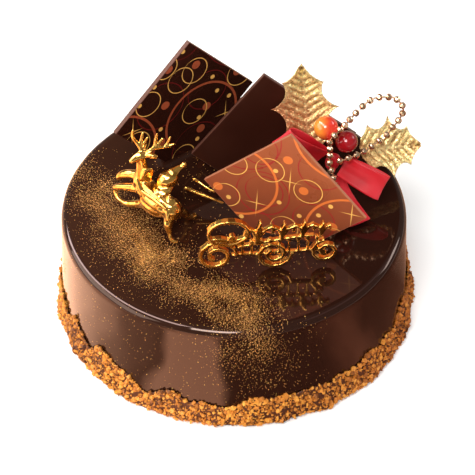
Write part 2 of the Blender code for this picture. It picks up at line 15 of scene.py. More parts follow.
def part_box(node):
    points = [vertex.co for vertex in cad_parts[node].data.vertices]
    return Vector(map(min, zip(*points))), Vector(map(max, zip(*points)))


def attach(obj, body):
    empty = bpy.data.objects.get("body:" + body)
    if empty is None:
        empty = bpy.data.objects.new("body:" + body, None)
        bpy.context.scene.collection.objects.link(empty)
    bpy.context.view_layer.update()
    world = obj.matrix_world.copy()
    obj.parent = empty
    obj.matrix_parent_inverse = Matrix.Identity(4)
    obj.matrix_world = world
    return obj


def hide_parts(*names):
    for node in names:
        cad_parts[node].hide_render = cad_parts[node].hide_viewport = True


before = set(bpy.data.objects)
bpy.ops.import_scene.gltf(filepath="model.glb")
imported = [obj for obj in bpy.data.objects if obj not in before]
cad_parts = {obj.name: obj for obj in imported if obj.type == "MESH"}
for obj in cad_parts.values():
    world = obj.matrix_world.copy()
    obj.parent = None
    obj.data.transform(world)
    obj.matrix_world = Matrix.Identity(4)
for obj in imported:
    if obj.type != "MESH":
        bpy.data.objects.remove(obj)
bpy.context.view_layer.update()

bl_info = {
    "name": "Chocolate Celebration Cake",
    "version": (1, 0, 0),
    "blender": (4, 5, 0),
    "location": "3D View > Sidebar > Cake",
    "description": "Glaze, crumbs, gold dust, chocolate squares, picks and bow of a chocolate cake",
    "category": "Object",
}

MM = 0.001
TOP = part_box("cake_body")[1].z
FOOT_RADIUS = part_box("cake_body")[1].x
CORNERS = ((-1, -1), (1, -1), (1, 1), (-1, 1))
PLATES = ("square_dark_printed", "square_dark_plain", "square_milk_printed")
ORIGIN = (0.0, 0.0, 0.0)


def top_point(x, y, h):
    """A point given in millimetres, with its height measured from the glazed top."""
    return Vector((x * MM, y * MM, TOP + h * MM))


# ---------------------------------------------------------------- settings

def colour_setting(name, description, default):
    """A colour that a user can change."""
    return FloatVectorProperty(name=name, description=description, subtype="COLOR", size=3,
                               min=0.0, max=1.0, default=default)


def length_setting(name, description, millimetres):
    """A length that a user can change."""
    return FloatProperty(name=name, description=description, unit="LENGTH", precision=5,
                         default=millimetres * MM)


class GlazeSettings(bpy.types.PropertyGroup):
    """Shape and colour of the glazed body."""
    rim_radius: length_setting("Rim Radius", "Radius of the cake just under its rounded rim", 75.0)
    rim_rounding: length_setting("Rim Rounding", "Radius of the rounded rim", 3.9)
    ripple: length_setting("Ripple", "Depth of the runs that the glaze left down the side", 0.26)
    lip: length_setting("Lip", "Height of the glaze pushed up round each square", 0.9)
    colour: colour_setting("Colour", "Dark glaze", (0.017, 0.0050, 0.0028))
    paler_glaze: colour_setting("Haze", "Paler glaze, to the left and under the powder", (0.075, 0.027, 0.012))
    shine: colour_setting("Shine", "Tint of the mirror on the glaze", (1.0, 0.72, 0.60))


class CrumbSettings(bpy.types.PropertyGroup):
    """Toasted crumbs round the foot."""
    coarse_size: length_setting("Coarse Size", "Mean radius of the coarse crumbs", 0.90)
    fine_size: length_setting("Fine Size", "Mean radius of the fine crumbs", 0.48)
    coarse_density: FloatProperty(name="Coarse Density", description="Coarse crumbs per square metre",
                                  default=400000.0)
    fine_density: FloatProperty(name="Fine Density", description="Fine crumbs per square metre",
                                default=780000.0)
    dark: colour_setting("Dark", "Deep toasted crumb", (0.075, 0.016, 0.003))
    middle: colour_setting("Middle", "Caramel crumb", (0.62, 0.205, 0.017))
    pale: colour_setting("Pale", "Palest crumb", (0.98, 0.47, 0.070))


class DustSettings(bpy.types.PropertyGroup):
    """Gold powder sifted over the glaze."""
    grain: length_setting("Grain", "Mean radius of a grain", 0.17)
    density: FloatProperty(name="Density", description="Grains per square metre where it is thickest",
                           default=8600000.0)
    colour: colour_setting("Colour", "Gold powder", (1.0, 0.47, 0.11))


class PlateSettings(bpy.types.PropertyGroup):
    """Thin chocolate squares with a printed pattern."""
    side: length_setting("Side", "Side of a square", 51.0)
    ring_line: length_setting("Ring Line", "Line width of the printed gold rings", 0.42)
    dark: colour_setting("Dark", "Dark chocolate", (0.023, 0.0055, 0.0030))
    milk: colour_setting("Milk", "Milk chocolate", (0.270, 0.066, 0.025))
    gold: colour_setting("Gold Print", "Printed gold", (0.80, 0.42, 0.10))
    copper: colour_setting("Copper Print", "Printed copper", (0.34, 0.070, 0.028))
    orange: colour_setting("Orange Print", "Printed orange on the milk chocolate", (0.66, 0.16, 0.036))
    wine: colour_setting("Wine Print", "Printed dark red", (0.115, 0.008, 0.008))
    rose: colour_setting("Rose Print", "Printed red on the milk chocolate", (0.30, 0.022, 0.020))
    # Painted shade: the milk square darkens to this colour towards its lower corner.
    shade: colour_setting("Shade", "Milk chocolate at its lower corner", (0.120, 0.026, 0.014))


class TrimSettings(bpy.types.PropertyGroup):
    """Leaves, bow, berries and beads."""
    leaf_thickness: length_setting("Leaf Thickness", "Thickness of a leaf", 0.45)
    ribbon_width: length_setting("Ribbon Width", "Width of the ribbon", 11.5)
    ribbon_thickness: length_setting("Ribbon Thickness", "Thickness of the ribbon", 0.4)
    bead_diameter: length_setting("Bead Diameter", "Diameter of a bead", 3.15)
    bead_pitch: length_setting("Bead Pitch", "Distance from bead to bead", 4.1)
    leaf: colour_setting("Leaf", "Gold glitter of the leaves", (1.0, 0.73, 0.33))
    ribbon: colour_setting("Ribbon", "Red satin", (0.60, 0.010, 0.018))
    orange_berry: colour_setting("Orange Side", "Pale side of the orange berry", (0.90, 0.29, 0.035))
    # The orange berry turns to this red on the side away from its lean.
    red_side: colour_setting("Red Side", "Ripe side of the orange berry", (0.70, 0.035, 0.018))
    red_berry: colour_setting("Red Berry", "Dark red berry", (0.36, 0.006, 0.011))


class GoldSettings(bpy.types.PropertyGroup):
    """Plated picks."""
    grid: length_setting("Grid", "Grid on which the plated picks are smoothed", 0.26)
    colour: colour_setting("Colour", "Gold plating", (0.93, 0.52, 0.12))
    crisp_steps: IntProperty(name="Crisp Steps", description="Smoothing of the flat scrollwork",
                             default=5)
    soft_steps: IntProperty(name="Soft Steps", description="Smoothing of the cast reindeer", default=2)


class StageSettings(bpy.types.PropertyGroup):
    """Floor, lights and camera."""
    distance: length_setting("Camera Distance", "From the camera to the cake's top", 1600.0)
    elevation: FloatProperty(name="Elevation", description="Camera above the horizon", subtype="ANGLE",
                             default=math.radians(44.3))
    lens: FloatProperty(name="Lens", description="Focal length", unit="CAMERA", default=279.3)
    floor: colour_setting("Floor", "Pale floor", (0.93, 0.93, 0.93))


SETTINGS = {
    "cake_glaze": GlazeSettings,
    "cake_crumbs": CrumbSettings,
    "cake_dust": DustSettings,
    "cake_plates": PlateSettings,
    "cake_trim": TrimSettings,
    "cake_gold": GoldSettings,
    "cake_stage": StageSettings,
}


# ---------------------------------------------------------------- node helpers

def set_input(tree, socket, value):
    """Join an input to the socket that feeds it, or give it a plain value."""
    if isinstance(value, bpy.types.NodeSocket):
        tree.links.new(value, socket)
    else:
        socket.default_value = value


def add_node(tree, kind, inputs=None, **settings):
    """A new node; each input is given as a value or as the socket that feeds it."""
    made = tree.nodes.new(kind)
    for name, value in settings.items():
        setattr(made, name, value)
    for name, value in (inputs or {}).items():
        set_input(tree, made.inputs[name], value)
    return made


def maths(tree, operation, *values, clamp=False):
    """One step of arithmetic on numbers or sockets."""
    return add_node(tree, "ShaderNodeMath", dict(enumerate(values)), operation=operation,
                    use_clamp=clamp).outputs[0]


def times(tree, first, second, clamp=False):
    """The product of two numbers or sockets."""
    return maths(tree, "MULTIPLY", first, second, clamp=clamp)


def plus(tree, first, second, clamp=False):
    """The sum of two numbers or sockets."""
    return maths(tree, "ADD", first, second, clamp=clamp)


def minus(tree, first, second):
    """The first less the second."""
    return maths(tree, "SUBTRACT", first, second)


def vector_maths(tree, operation, *values, output=0):
    """One step on vectors; output 1 is the one that gives a number."""
    made = add_node(tree, "ShaderNodeVectorMath", dict(enumerate(values)), operation=operation)
    return made.outputs[output]


def mix(tree, factor, first, second, blend="MIX"):
    """Mix of two colours, each a colour or a socket."""
    return add_node(tree, "ShaderNodeMix", {0: factor, 6: rgba(first), 7: rgba(second)},
                    data_type="RGBA", blend_type=blend).outputs[2]


def ramp(tree, factor, *stops):
    """Colour ramp through (position, colour) stops."""
    made = add_node(tree, "ShaderNodeValToRGB", {"Fac": factor})
    elements = made.color_ramp.elements
    while len(elements) < len(stops):
        elements.new(0.5)
    for element, (position, colour) in zip(elements, stops):
        element.position = position
        element.color = rgba(colour)
    return made.outputs[0]


def spread(tree, value, low, high, to_low=0.0, to_high=1.0):
    """A value between low and high moved to another range, and held inside it."""
    return add_node(tree, "ShaderNodeMapRange", {"Value": value, "From Min": low, "From Max": high,
                                                 "To Min": to_low, "To Max": to_high},
                    clamp=True).outputs[0]


def rgba(colour):
    """A colour with its alpha; a socket is passed on as it is."""
    return colour if isinstance(colour, bpy.types.NodeSocket) else tuple(colour)[:3] + (1.0,)


def scaled(colour, *factors):
    """A colour made darker or paler, by one factor or by one for each channel, and kept in range."""
    factors = factors * 3 if len(factors) == 1 else factors
    return [min(1.0, value * factor) for value, factor in zip(colour, factors)]


def axes_of(tree, vector):
    """The X, Y and Z of a vector."""
    return add_node(tree, "ShaderNodeSeparateXYZ", {"Vector": vector}).outputs


def noise_texture(tree, place, scale, detail):
    """Soft noise between 0 and 1."""
    return add_node(tree, "ShaderNodeTexNoise",
                    {"Vector": place, "Scale": scale, "Detail": detail}).outputs[0]


def new_group(name, inputs, outputs):
    """An empty shader group: inputs are named with their defaults, and outputs are numbers."""
    group = bpy.data.node_groups.new(name, "ShaderNodeTree")
    for label, default in inputs.items():
        kind = "NodeSocketVector" if isinstance(default, tuple) else "NodeSocketFloat"
        group.interface.new_socket(label, in_out="INPUT", socket_type=kind).default_value = default
    for label in outputs:
        group.interface.new_socket(label, in_out="OUTPUT", socket_type="NodeSocketFloat")
    given = group.nodes.new("NodeGroupInput").outputs
    return group, given, group.nodes.new("NodeGroupOutput").inputs


def use_group(tree, name, inputs):
    """A shared effect placed in a material; its group is built at its first use."""
    if name not in GROUPS:
        GROUPS[name] = GROUP_MAKERS[name]()
    return add_node(tree, "ShaderNodeGroup", inputs, node_tree=GROUPS[name]).outputs


def grain(tree, place, coarse, fine, share):
    """The fine grain effect, with its Mask and Height."""
    return use_group(tree, "grain", {"Place": place, "Coarse Scale": coarse, "Fine Scale": fine,
                                     "Fine Share": share})


def object_place(tree):
    """Where a point lies on its piece, in metres."""
    return add_node(tree, "ShaderNodeTexCoord").outputs["Object"]


def attribute(tree, name, output="Fac"):
    """A value that the mesh carries at each point."""
    return add_node(tree, "ShaderNodeAttribute", attribute_name=name).outputs[output]


def new_material(name, roughness=0.5, metallic=0.0, specular=0.5, coat=0.0):
    """A Principled material and its tree; uniform values go on the shader's own sockets."""
    material = bpy.data.materials.new(name)
    material.use_nodes = True
    shader = material.node_tree.nodes["Principled BSDF"]
    for socket, value in (("Roughness", roughness), ("Metallic", metallic),
                          ("Specular IOR Level", specular), ("Coat Weight", coat),
                          ("Coat Roughness", 0.05)):
        shader.inputs[socket].default_value = value
    return material, material.node_tree, shader


def feed(tree, shader, **sockets):
    """Join sockets to the shader: Base_Color=..., Roughness=..., Normal=..."""
    for name, socket in sockets.items():
        tree.links.new(socket, shader.inputs[name.replace("_", " ")])


def bump(tree, height, strength, millimetres):
    """A normal that stands for a fine relief."""
    return add_node(tree, "ShaderNodeBump", {"Height": height, "Strength": strength,
                                             "Distance": millimetres * MM}).outputs[0]


# ---------------------------------------------------------------- shared effects

def grain_group():
    """Fine unevenness in two sizes: a mask for colour or roughness and a height for bump."""
    group, given, result = new_group(
        "fine_grain", {"Place": ORIGIN, "Coarse Scale": 60.0, "Fine Scale": 900.0, "Fine Share": 0.4},
        ["Mask", "Height"])
    coarse = noise_texture(group, given["Place"], given["Coarse Scale"], 3.0)
    fine = noise_texture(group, given["Place"], given["Fine Scale"], 2.0)
    share = given["Fine Share"]
    smooth = times(group, coarse, minus(group, 1.0, share))
    group.links.new(coarse, result["Mask"])
    group.links.new(plus(group, times(group, fine, share), smooth), result["Height"])
    return group


def glitter_group():
    """Cells of glitter: a brightness for each cell and a height that tilts it."""
    group, given, result = new_group("glitter", {"Place": ORIGIN, "Scale": 1800.0},
                                     ["Bright", "Height"])
    cells = add_node(group, "ShaderNodeTexVoronoi", {"Vector": given["Place"],
                                                     "Scale": given["Scale"]})
    split = add_node(group, "ShaderNodeSeparateColor", {"Color": cells.outputs["Color"]}).outputs
    group.links.new(split[0], result["Bright"])
    group.links.new(times(group, split[1], cells.outputs["Distance"]), result["Height"])
    return group


def from_centre(group, given):
    """The way from a printed mark's centre, and its length."""
    away = vector_maths(group, "SUBTRACT", given["Place"], given["Centre"])
    return away, vector_maths(group, "LENGTH", away, output=1)


def printed_ring_group():
    """A ring printed on a plate: centre, radius, line and how much of its turn is drawn."""
    group, given, result = new_group(
        "printed_ring", {"Place": ORIGIN, "Centre": ORIGIN, "Radius": 6.0, "Line": 0.4,
                         "Towards": (1.0, 0.0, 0.0), "Share": -1.1}, ["Mask"])
    away, reach = from_centre(group, given)
    off = maths(group, "ABSOLUTE", minus(group, reach, given["Radius"]))
    heading = vector_maths(group, "DOT_PRODUCT", vector_maths(group, "NORMALIZE", away),
                           given["Towards"], output=1)
    drawn = times(group, minus(group, heading, given["Share"]), 3.0, clamp=True)
    half = times(group, times(group, given["Line"], 0.5), drawn)
    inside = times(group, minus(group, half, off), 9.0)
    group.links.new(plus(group, inside, 0.5, clamp=True), result["Mask"])
    return group


def printed_dot_group():
    """A dot printed on a plate."""
    group, given, result = new_group(
        "printed_dot", {"Place": ORIGIN, "Centre": ORIGIN, "Radius": 1.0}, ["Mask"])
    inside = times(group, minus(group, given["Radius"], from_centre(group, given)[1]), 7.0)
    group.links.new(plus(group, inside, 0.5, clamp=True), result["Mask"])
    return group


def printed_star_group():
    """Two thin crossed strokes that taper to points, set on the plate's diagonals."""
    group, given, result = new_group(
        "printed_star", {"Place": ORIGIN, "Centre": ORIGIN, "Long": 8.0, "Short": 5.5}, ["Mask"])
    away = vector_maths(group, "SUBTRACT", given["Place"], given["Centre"])
    half = math.sqrt(0.5)
    up = vector_maths(group, "DOT_PRODUCT", away, (-half, 0.0, half), output=1)
    across = vector_maths(group, "DOT_PRODUCT", away, (half, 0.0, half), output=1)
    strokes = []
    for run, off, reach in ((up, across, "Long"), (across, up, "Short")):
        share = maths(group, "DIVIDE", maths(group, "ABSOLUTE", run), given[reach])
        width = times(group, minus(group, 1.0, share), 0.34)
        inside = minus(group, width, maths(group, "ABSOLUTE", off))
        strokes.append(times(group, inside, 8.0, clamp=True))
    group.links.new(maths(group, "MAXIMUM", *strokes), result["Mask"])
    return group


GROUP_MAKERS = {"grain": grain_group, "glitter": glitter_group, "ring": printed_ring_group,
                "dot": printed_dot_group, "star": printed_star_group}
GROUPS = {}


# ---------------------------------------------------------------- mesh helpers

def add_piece(mesh, name, material, nodes=(), smooth=True):
    """A finished piece: it sits at the origin, rides on the root and stands for its CAD nodes."""
    piece = bpy.data.objects.new(name, mesh)
    bpy.context.scene.collection.objects.link(piece)
    mesh.materials.clear()
    mesh.materials.append(material)
    mesh.polygons.foreach_set("use_smooth", [smooth] * len(mesh.polygons))
    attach(piece, "root")
    if nodes:
        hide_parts(*nodes)
    return piece


def mesh_from_rows(name, rows):
    """Quads between rows of points, each row as long as the next."""
    mesh = bpy.data.meshes.new(name)
    across = len(rows[0])
    faces = []
    for row in range(len(rows) - 1):
        for column in range(across - 1):
            corner = row * across + column
            faces.append((corner, corner + 1, corner + across + 1, corner + across))
    mesh.from_pydata([tuple(point) for row in rows for point in row], [], faces)
    mesh.update()
    return mesh


def evaluated_mesh(thing):
    """The object's shape with its modifiers, as a plain mesh; the object is removed."""
    bpy.context.view_layer.update()
    evaluated = thing.evaluated_get(bpy.context.evaluated_depsgraph_get())
    mesh = bpy.data.meshes.new_from_object(evaluated)
    bpy.data.objects.remove(thing, do_unlink=True)
    return mesh


def scratch_object(name, mesh):
    """An object that only lives until its shape is taken."""
    thing = bpy.data.objects.new(name, mesh)
    bpy.context.scene.collection.objects.link(thing)
    return thing


def run_nodes(name, mesh, tree, inputs):
    """Run a Geometry Nodes tree on a mesh and return its result as a plain mesh."""
    carrier = scratch_object(name, mesh)
    modifier = carrier.modifiers.new(name, "NODES")
    modifier.node_group = tree
    for item in tree.interface.items_tree:
        if item.item_type == "SOCKET" and item.in_out == "INPUT" and item.name in inputs:
            modifier[item.identifier] = inputs[item.name]
    return evaluated_mesh(carrier)


def new_geometry_tree(name, sizes):
    """A Geometry Nodes tree with a number input for each size, and the sockets of its inputs."""
    tree = bpy.data.node_groups.new(name, "GeometryNodeTree")
    tree.is_modifier = True
    new_socket = tree.interface.new_socket
    new_socket("Geometry", in_out="INPUT", socket_type="NodeSocketGeometry")
    for label, default in sizes.items():
        new_socket(label, in_out="INPUT", socket_type="NodeSocketFloat").default_value = default
    new_socket("Material", in_out="INPUT", socket_type="NodeSocketMaterial")
    new_socket("Geometry", in_out="OUTPUT", socket_type="NodeSocketGeometry")
    return tree, tree.nodes.new("NodeGroupInput").outputs


def close_geometry_tree(tree, given, geometry):
    """End a tree: its instances are made real and the result gets its material."""
    real = add_node(tree, "GeometryNodeRealizeInstances", {0: geometry})
    coloured = add_node(tree, "GeometryNodeSetMaterial", {"Geometry": real.outputs[0],
                                                          "Material": given["Material"]})
    tree.links.new(coloured.outputs[0], tree.nodes.new("NodeGroupOutput").inputs[0])
    return tree


def plain_mesh(name, shape):
    """The finished bmesh as a mesh."""
    mesh = bpy.data.meshes.new(name)
    shape.to_mesh(mesh)
    shape.free()
    return mesh


def outward(mesh):
    """Merge doubles and point every face outwards."""
    shape = bmesh.new()
    shape.from_mesh(mesh)
    bmesh.ops.remove_doubles(shape, verts=shape.verts, dist=0.000001)
    bmesh.ops.recalc_face_normals(shape, faces=shape.faces)
    shape.to_mesh(mesh)
    shape.free()
    return mesh


def cad_copy(node):
    """A merged copy of a CAD node's mesh."""
    return outward(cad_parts[node].data.copy())


def float_attribute(mesh, name, values):
    """One number for each of the mesh's points."""
    layer = mesh.attributes.new(name, "FLOAT", "POINT")
    layer.data.foreach_set("value", values)


def smooth_path(points, steps):
    """Catmull-Rom curve through the points, with the given steps between each two of them."""
    path = []
    last = len(points) - 1
    for index in range(last):
        before = points[max(index - 1, 0)]
        start = points[index]
        end = points[index + 1]
        after = points[min(index + 2, last)]
        for step in range(steps):
            t = step / steps
            path.append(0.5 * (2 * start + (end - before) * t
                               + (2 * before - 5 * start + 4 * end - after) * t * t
                               + (3 * start - before - 3 * end + after) * t * t * t))
    path.append(points[last])
    return path


# ---------------------------------------------------------------- glaze

def plate_footprints():
    """For each square, the ends of the line where it enters the glaze and half its thickness."""
    footprints = []
    for name in PLATES:
        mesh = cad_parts[name].data
        crossings = []
        for edge in mesh.edges:
            low, high = (mesh.vertices[index].co for index in edge.vertices)
            if (low.z - TOP) * (high.z - TOP) < 0:
                share = (TOP - low.z) / (high.z - low.z)
                crossings.append((low + (high - low) * share).xy)
        pairs = [(a, b) for a in crossings for b in crossings]
        start, end = max(pairs, key=lambda pair: (pair[0] - pair[1]).length)
        run = (end - start).normalized()
        offsets = [(spot - start).x * -run.y + (spot - start).y * run.x for spot in crossings]
        shift = Vector((-run.y, run.x)) * (max(offsets) + min(offsets)) / 2
        footprints.append((start + shift, end + shift, (max(offsets) - min(offsets)) / 2))
    return footprints


def lip_height(spot, footprints, lip):
    """Rise of the glaze near the squares that were pushed into it."""
    rise = 0.0
    for start, end, half in footprints:
        run = end - start
        share = max(0.0, min(1.0, (spot - start).dot(run) / run.length_squared))
        off = max(0.0, (spot - start - run * share).length - half)
        rise = max(rise, lip * math.exp(-(off / (1.3 * MM)) ** 2))
    return rise


# Middle line of the gold powder in millimetres: x, y, half width, and how thick it lies there.
DUST_ROUTE = [(-72.0, 30.0, 7.0, 0.45), (-58.0, 8.0, 10.0, 0.85), (-46.0, -14.0, 12.0, 1.0),
              (-32.0, -34.0, 12.0, 0.95), (-12.0, -50.0, 11.0, 0.85), (4.0, -62.0, 10.0, 1.0),
              (7.0, -78.0, 12.0, 0.55), (10.0, -100.0, 14.0, 0.10)]
DUST_UNROLLS_AT = 74.0
STRAY_DUST = 0.012


def dust_amount(x, y, h):
    """How thick the gold powder lies, from 0 to 1, for a place in millimetres."""
    unrolled_y = y + min(0.0, h) if math.hypot(x, y) > DUST_UNROLLS_AT else y
    best = 0.0
    for near, far in zip(DUST_ROUTE, DUST_ROUTE[1:]):
        start = Vector(near[:2])
        run = Vector(far[:2]) - start
        away = Vector((x, unrolled_y)) - start
        t = max(0.0, min(1.0, away.dot(run) / run.length_squared))
        off = (away - run * t).length
        width = near[2] * (1 - t) + far[2] * t
        level = near[3] * (1 - t) + far[3] * t
        best = max(best, level * math.exp(-(off / width) ** 2))
    patch = 0.62 + 0.9 * noise.noise(Vector((x, y, h)) * 0.09)
    stray = STRAY_DUST if y < 40.0 and x < 40.0 else 0.0
    return max(0.0, min(1.0, best * patch)) + stray


# No powder below this height in millimetres, and the glaze's divisions round, across and down.
CRUMB_LINE = 13.0
GLAZE_SEGMENTS = 300
TOP_RINGS = 96
RIM_STEPS = 10
WALL_STEPS = 36


def glaze_mesh(settings):
    """The glazed body: a turned profile with a wavy side, a soft top and lips at the squares."""
    rim = settings.rim_rounding
    radius = settings.rim_radius
    wall = TOP - rim
    footprints = plate_footprints()
    rows = [((radius - rim) * ring / TOP_RINGS, TOP) for ring in range(1, TOP_RINGS + 1)]
    for step in range(1, RIM_STEPS + 1):
        angle = math.radians(90.0 / RIM_STEPS * step)
        rows.append((radius - rim * (1 - math.sin(angle)), TOP - rim * (1 - math.cos(angle))))
    for step in range(1, WALL_STEPS + 1):
        share = step / WALL_STEPS
        rows.append((radius + (FOOT_RADIUS - radius) * share, wall * (1 - share)))
    points = []
    for reach, z in rows:
        side = min(1.0, max(0.0, (TOP - z) / (6.0 * MM)))
        for step in range(GLAZE_SEGMENTS):
            angle = math.tau * step / GLAZE_SEGMENTS
            flow = Vector((3.2 * math.cos(angle), 3.2 * math.sin(angle), 9.0 * z))
            fine = Vector((8.0 * math.cos(angle), 8.0 * math.sin(angle), 14.0 * z))
            run = noise.noise(flow) + 0.55 * noise.noise(fine)
            out = reach + settings.ripple * run * side
            spot = Vector((out * math.cos(angle), out * math.sin(angle)))
            sag = 0.10 * MM * noise.noise(Vector((spot.x, spot.y, 0.0)) * 28.0) * (1 - side)
            rise = lip_height(spot, footprints, settings.lip) * (1 - side)
            points.append((spot.x, spot.y, z + sag + rise if z > 0 else 0.0))
    top_centre = len(points)
    points += [(0.0, 0.0, TOP), ORIGIN]
    last = (len(rows) - 1) * GLAZE_SEGMENTS
    pairs = [(step, (step + 1) % GLAZE_SEGMENTS) for step in range(GLAZE_SEGMENTS)]
    faces = []
    for above in range(0, last, GLAZE_SEGMENTS):
        below = above + GLAZE_SEGMENTS
        faces += [(above + step, below + step, below + beside, above + beside)
                  for step, beside in pairs]
    for step, beside in pairs:
        faces += [(top_centre, step, beside), (top_centre + 1, last + beside, last + step)]
    mesh = bpy.data.meshes.new("glaze")
    mesh.from_pydata(points, [], faces)
    mesh.update()
    dust = []
    for point in points:
        x, y, z = (value / MM for value in point)
        dust.append(dust_amount(x, y, z - TOP / MM) if z > CRUMB_LINE else 0.0)
    float_attribute(mesh, "dust", dust)
    return mesh


def glaze_material(settings):
    """Dark mirror glaze, a little paler towards the left and under the powder."""
    material, tree, shader = new_material("mirror_glaze", roughness=0.07)
    shader.inputs["Specular Tint"].default_value = rgba(settings.shine)
    place = object_place(tree)
    cloud = grain(tree, place, 22.0, 260.0, 0.15)
    left = spread(tree, axes_of(tree, place)[0], 0.03, -0.075)
    patch = times(tree, left, spread(tree, cloud["Mask"], 0.3, 0.7, 0.6, 1.0))
    paler_glaze = plus(tree, times(tree, patch, 0.22), times(tree, attribute(tree, "dust"), 0.45),
                clamp=True)
    feed(tree, shader, Base_Color=mix(tree, paler_glaze, settings.colour, settings.paler_glaze),
         Roughness=spread(tree, cloud["Mask"], 0.3, 0.75, 0.045, 0.09),
         Normal=bump(tree, cloud["Height"], 0.25, 0.1))
    return material


# ---------------------------------------------------------------- scattered grains

def scatter_tree(name, mask, variants, detail, seed):
    """Grains on a surface: the points follow the mask attribute, each grain is one of a few lumps."""
    tree, given = new_geometry_tree(name, {"Density": 1000.0, "Grain Radius": 0.001, "Lowest": 0.0,
                                           "Flatness": 1.0, "Unevenness": 0.45})
    lumps = tree.nodes.new("GeometryNodeJoinGeometry")
    for index in range(variants):
        if detail:
            lump = add_node(tree, "GeometryNodeMeshIcoSphere", {"Subdivisions": detail})
        else:
            lump = add_node(tree, "GeometryNodeMeshUVSphere", {"Segments": 4, "Rings": 2})
        here = add_node(tree, "GeometryNodeInputPosition").outputs[0]
        shifted = vector_maths(tree, "ADD", here, (7.3 * index, 3.1 * index, 1.7 * index))
        bumps = spread(tree, noise_texture(tree, shifted, 1.3, 2.0), 0.3, 0.7, -1.0, 1.0)
        swell = plus(tree, 1.0, times(tree, given["Unevenness"], bumps))
        swollen = add_node(tree, "ShaderNodeVectorMath", {0: here, "Scale": swell}, operation="SCALE")
        moved = add_node(tree, "GeometryNodeSetPosition", {"Geometry": lump.outputs["Mesh"],
                                                           "Position": swollen.outputs[0]})
        single = add_node(tree, "GeometryNodeGeometryToInstance", {0: moved.outputs[0]})
        tree.links.new(single.outputs[0], lumps.inputs[0])
    weight = add_node(tree, "GeometryNodeInputNamedAttribute", {"Name": mask}, data_type="FLOAT")
    points = add_node(tree, "GeometryNodeDistributePointsOnFaces",
                      {"Mesh": given["Geometry"], "Seed": seed,
                       "Density": times(tree, weight.outputs[0], given["Density"])})
    x, y, z = axes_of(tree, add_node(tree, "GeometryNodeInputPosition").outputs[0])
    lifted = add_node(tree, "ShaderNodeCombineXYZ",
                      {"X": x, "Y": y, "Z": maths(tree, "MAXIMUM", z, given["Lowest"])})
    raised = add_node(tree, "GeometryNodeSetPosition", {"Geometry": points.outputs["Points"],
                                                        "Position": lifted.outputs[0]})
    size, tone = (add_node(tree, "FunctionNodeRandomValue", {"Min": 0.0, "Max": 1.0, "Seed": draw},
                           data_type="FLOAT").outputs["Value"] for draw in (seed + 1, seed + 3))
    scale = times(tree, spread(tree, maths(tree, "POWER", size, 1.7), 0.0, 1.0, 0.6, 1.75),
                  given["Grain Radius"])
    stretched = add_node(tree, "ShaderNodeCombineXYZ", {"X": scale, "Y": times(tree, scale, 0.82),
                                                        "Z": times(tree, scale, given["Flatness"])})
    spin = add_node(tree, "FunctionNodeRandomValue", {"Max": (math.tau, math.tau, math.tau),
                                                      "Seed": seed + 2}, data_type="FLOAT_VECTOR")
    placed = add_node(tree, "GeometryNodeInstanceOnPoints",
                      {"Points": raised.outputs[0], "Instance": lumps.outputs[0],
                       "Pick Instance": True, "Rotation": spin.outputs[0],
                       "Scale": stretched.outputs[0]})
    toned = add_node(tree, "GeometryNodeStoreNamedAttribute",
                     {"Geometry": placed.outputs[0], "Name": "tone"},
                     data_type="FLOAT", domain="INSTANCE")
    tree.links.new(tone, toned.inputs["Value"])
    return close_geometry_tree(tree, given, toned.outputs[0])


def crumb_core_mesh():
    """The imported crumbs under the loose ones: the CAD ring drawn in and roughened."""
    mesh = cad_copy("crumb_ring")
    shape = bmesh.new()
    shape.from_mesh(mesh)
    bmesh.ops.subdivide_edges(shape, edges=shape.edges, cuts=2, use_grid_fill=True)
    bmesh.ops.triangulate(shape, faces=shape.faces)
    shape.to_mesh(mesh)
    shape.free()
    scatter = []
    for vertex in mesh.vertices:
        spot = vertex.co
        reach = spot.xy.length
        share = max(0.0, min(1.0, (reach - FOOT_RADIUS) / (3.0 * MM)))
        rough = 1.0 * MM * noise.noise(spot / (1.9 * MM))
        inward = (2.5 * MM + rough) * share
        heap = noise.noise(Vector((spot.x, spot.y, 0.0)) / (9.0 * MM))
        clump = noise.noise(spot / (2.6 * MM) + Vector((5.0, 0.0, 0.0)))
        beside = max(0.0, min(1.0, (abs(spot.x) - 50.0 * MM) / (22.0 * MM)))
        spot.xy = spot.xy * ((reach - inward) / reach)
        spot.z = max(0.0, spot.z * (1.06 + 0.32 * heap + 0.24 * beside) + 0.5 * rough * share)
        scatter.append(max(0.35, min(1.0, 0.80 + 1.3 * clump)) if share > 0.02 else 0.0)
    float_attribute(mesh, "scatter", scatter)
    mesh.update()
    return mesh


def crumb_material(settings, name, painted_gap_shade):
    """Toasted crumb: each has its own tone, with pale and burnt spots, and painted shade towards the
    right.
    """
    material, tree, shader = new_material(name, roughness=0.55, specular=0.35)
    place = object_place(tree)
    crust = grain(tree, place, 700.0, 3200.0, 0.5)
    drift = spread(tree, noise_texture(tree, place, 46.0, 2.0), 0.3, 0.7)
    tone = plus(tree, times(tree, attribute(tree, "tone"), 0.55), times(tree, drift, 0.25))
    spots = times(tree, spread(tree, crust["Mask"], 0.3, 0.7), 0.2)
    colour = ramp(tree, plus(tree, tone, spots, clamp=True),
                  (0.08, settings.dark), (0.5, settings.middle), (0.95, settings.pale))
    # Painted shade: the colour is multiplied darker towards the right, away from the lights.
    right = spread(tree, axes_of(tree, place)[0], 0.01, 0.09, 0.0, 0.55)
    colour = mix(tree, right, colour, scaled(settings.middle, 0.62), "MULTIPLY")
    # Painted shade: the given share of the darkest crumb is mixed in, for shade in the gaps between
    # crumbs.
    colour = mix(tree, painted_gap_shade, colour, settings.dark)
    feed(tree, shader, Base_Color=colour, Normal=bump(tree, crust["Height"], 0.5, 0.3))
    return material


def dust_material(settings):
    """Gold powder with a tone of its own for each grain."""
    material, tree, shader = new_material("gold_powder", roughness=0.42, metallic=0.25)
    feed(tree, shader, Base_Color=ramp(tree, attribute(tree, "tone"),
                                       (0.0, scaled(settings.colour, 0.45)), (0.6, settings.colour),
                                       (1.0, scaled(settings.colour, 1.35))))
    return material


# ---------------------------------------------------------------- chocolate squares

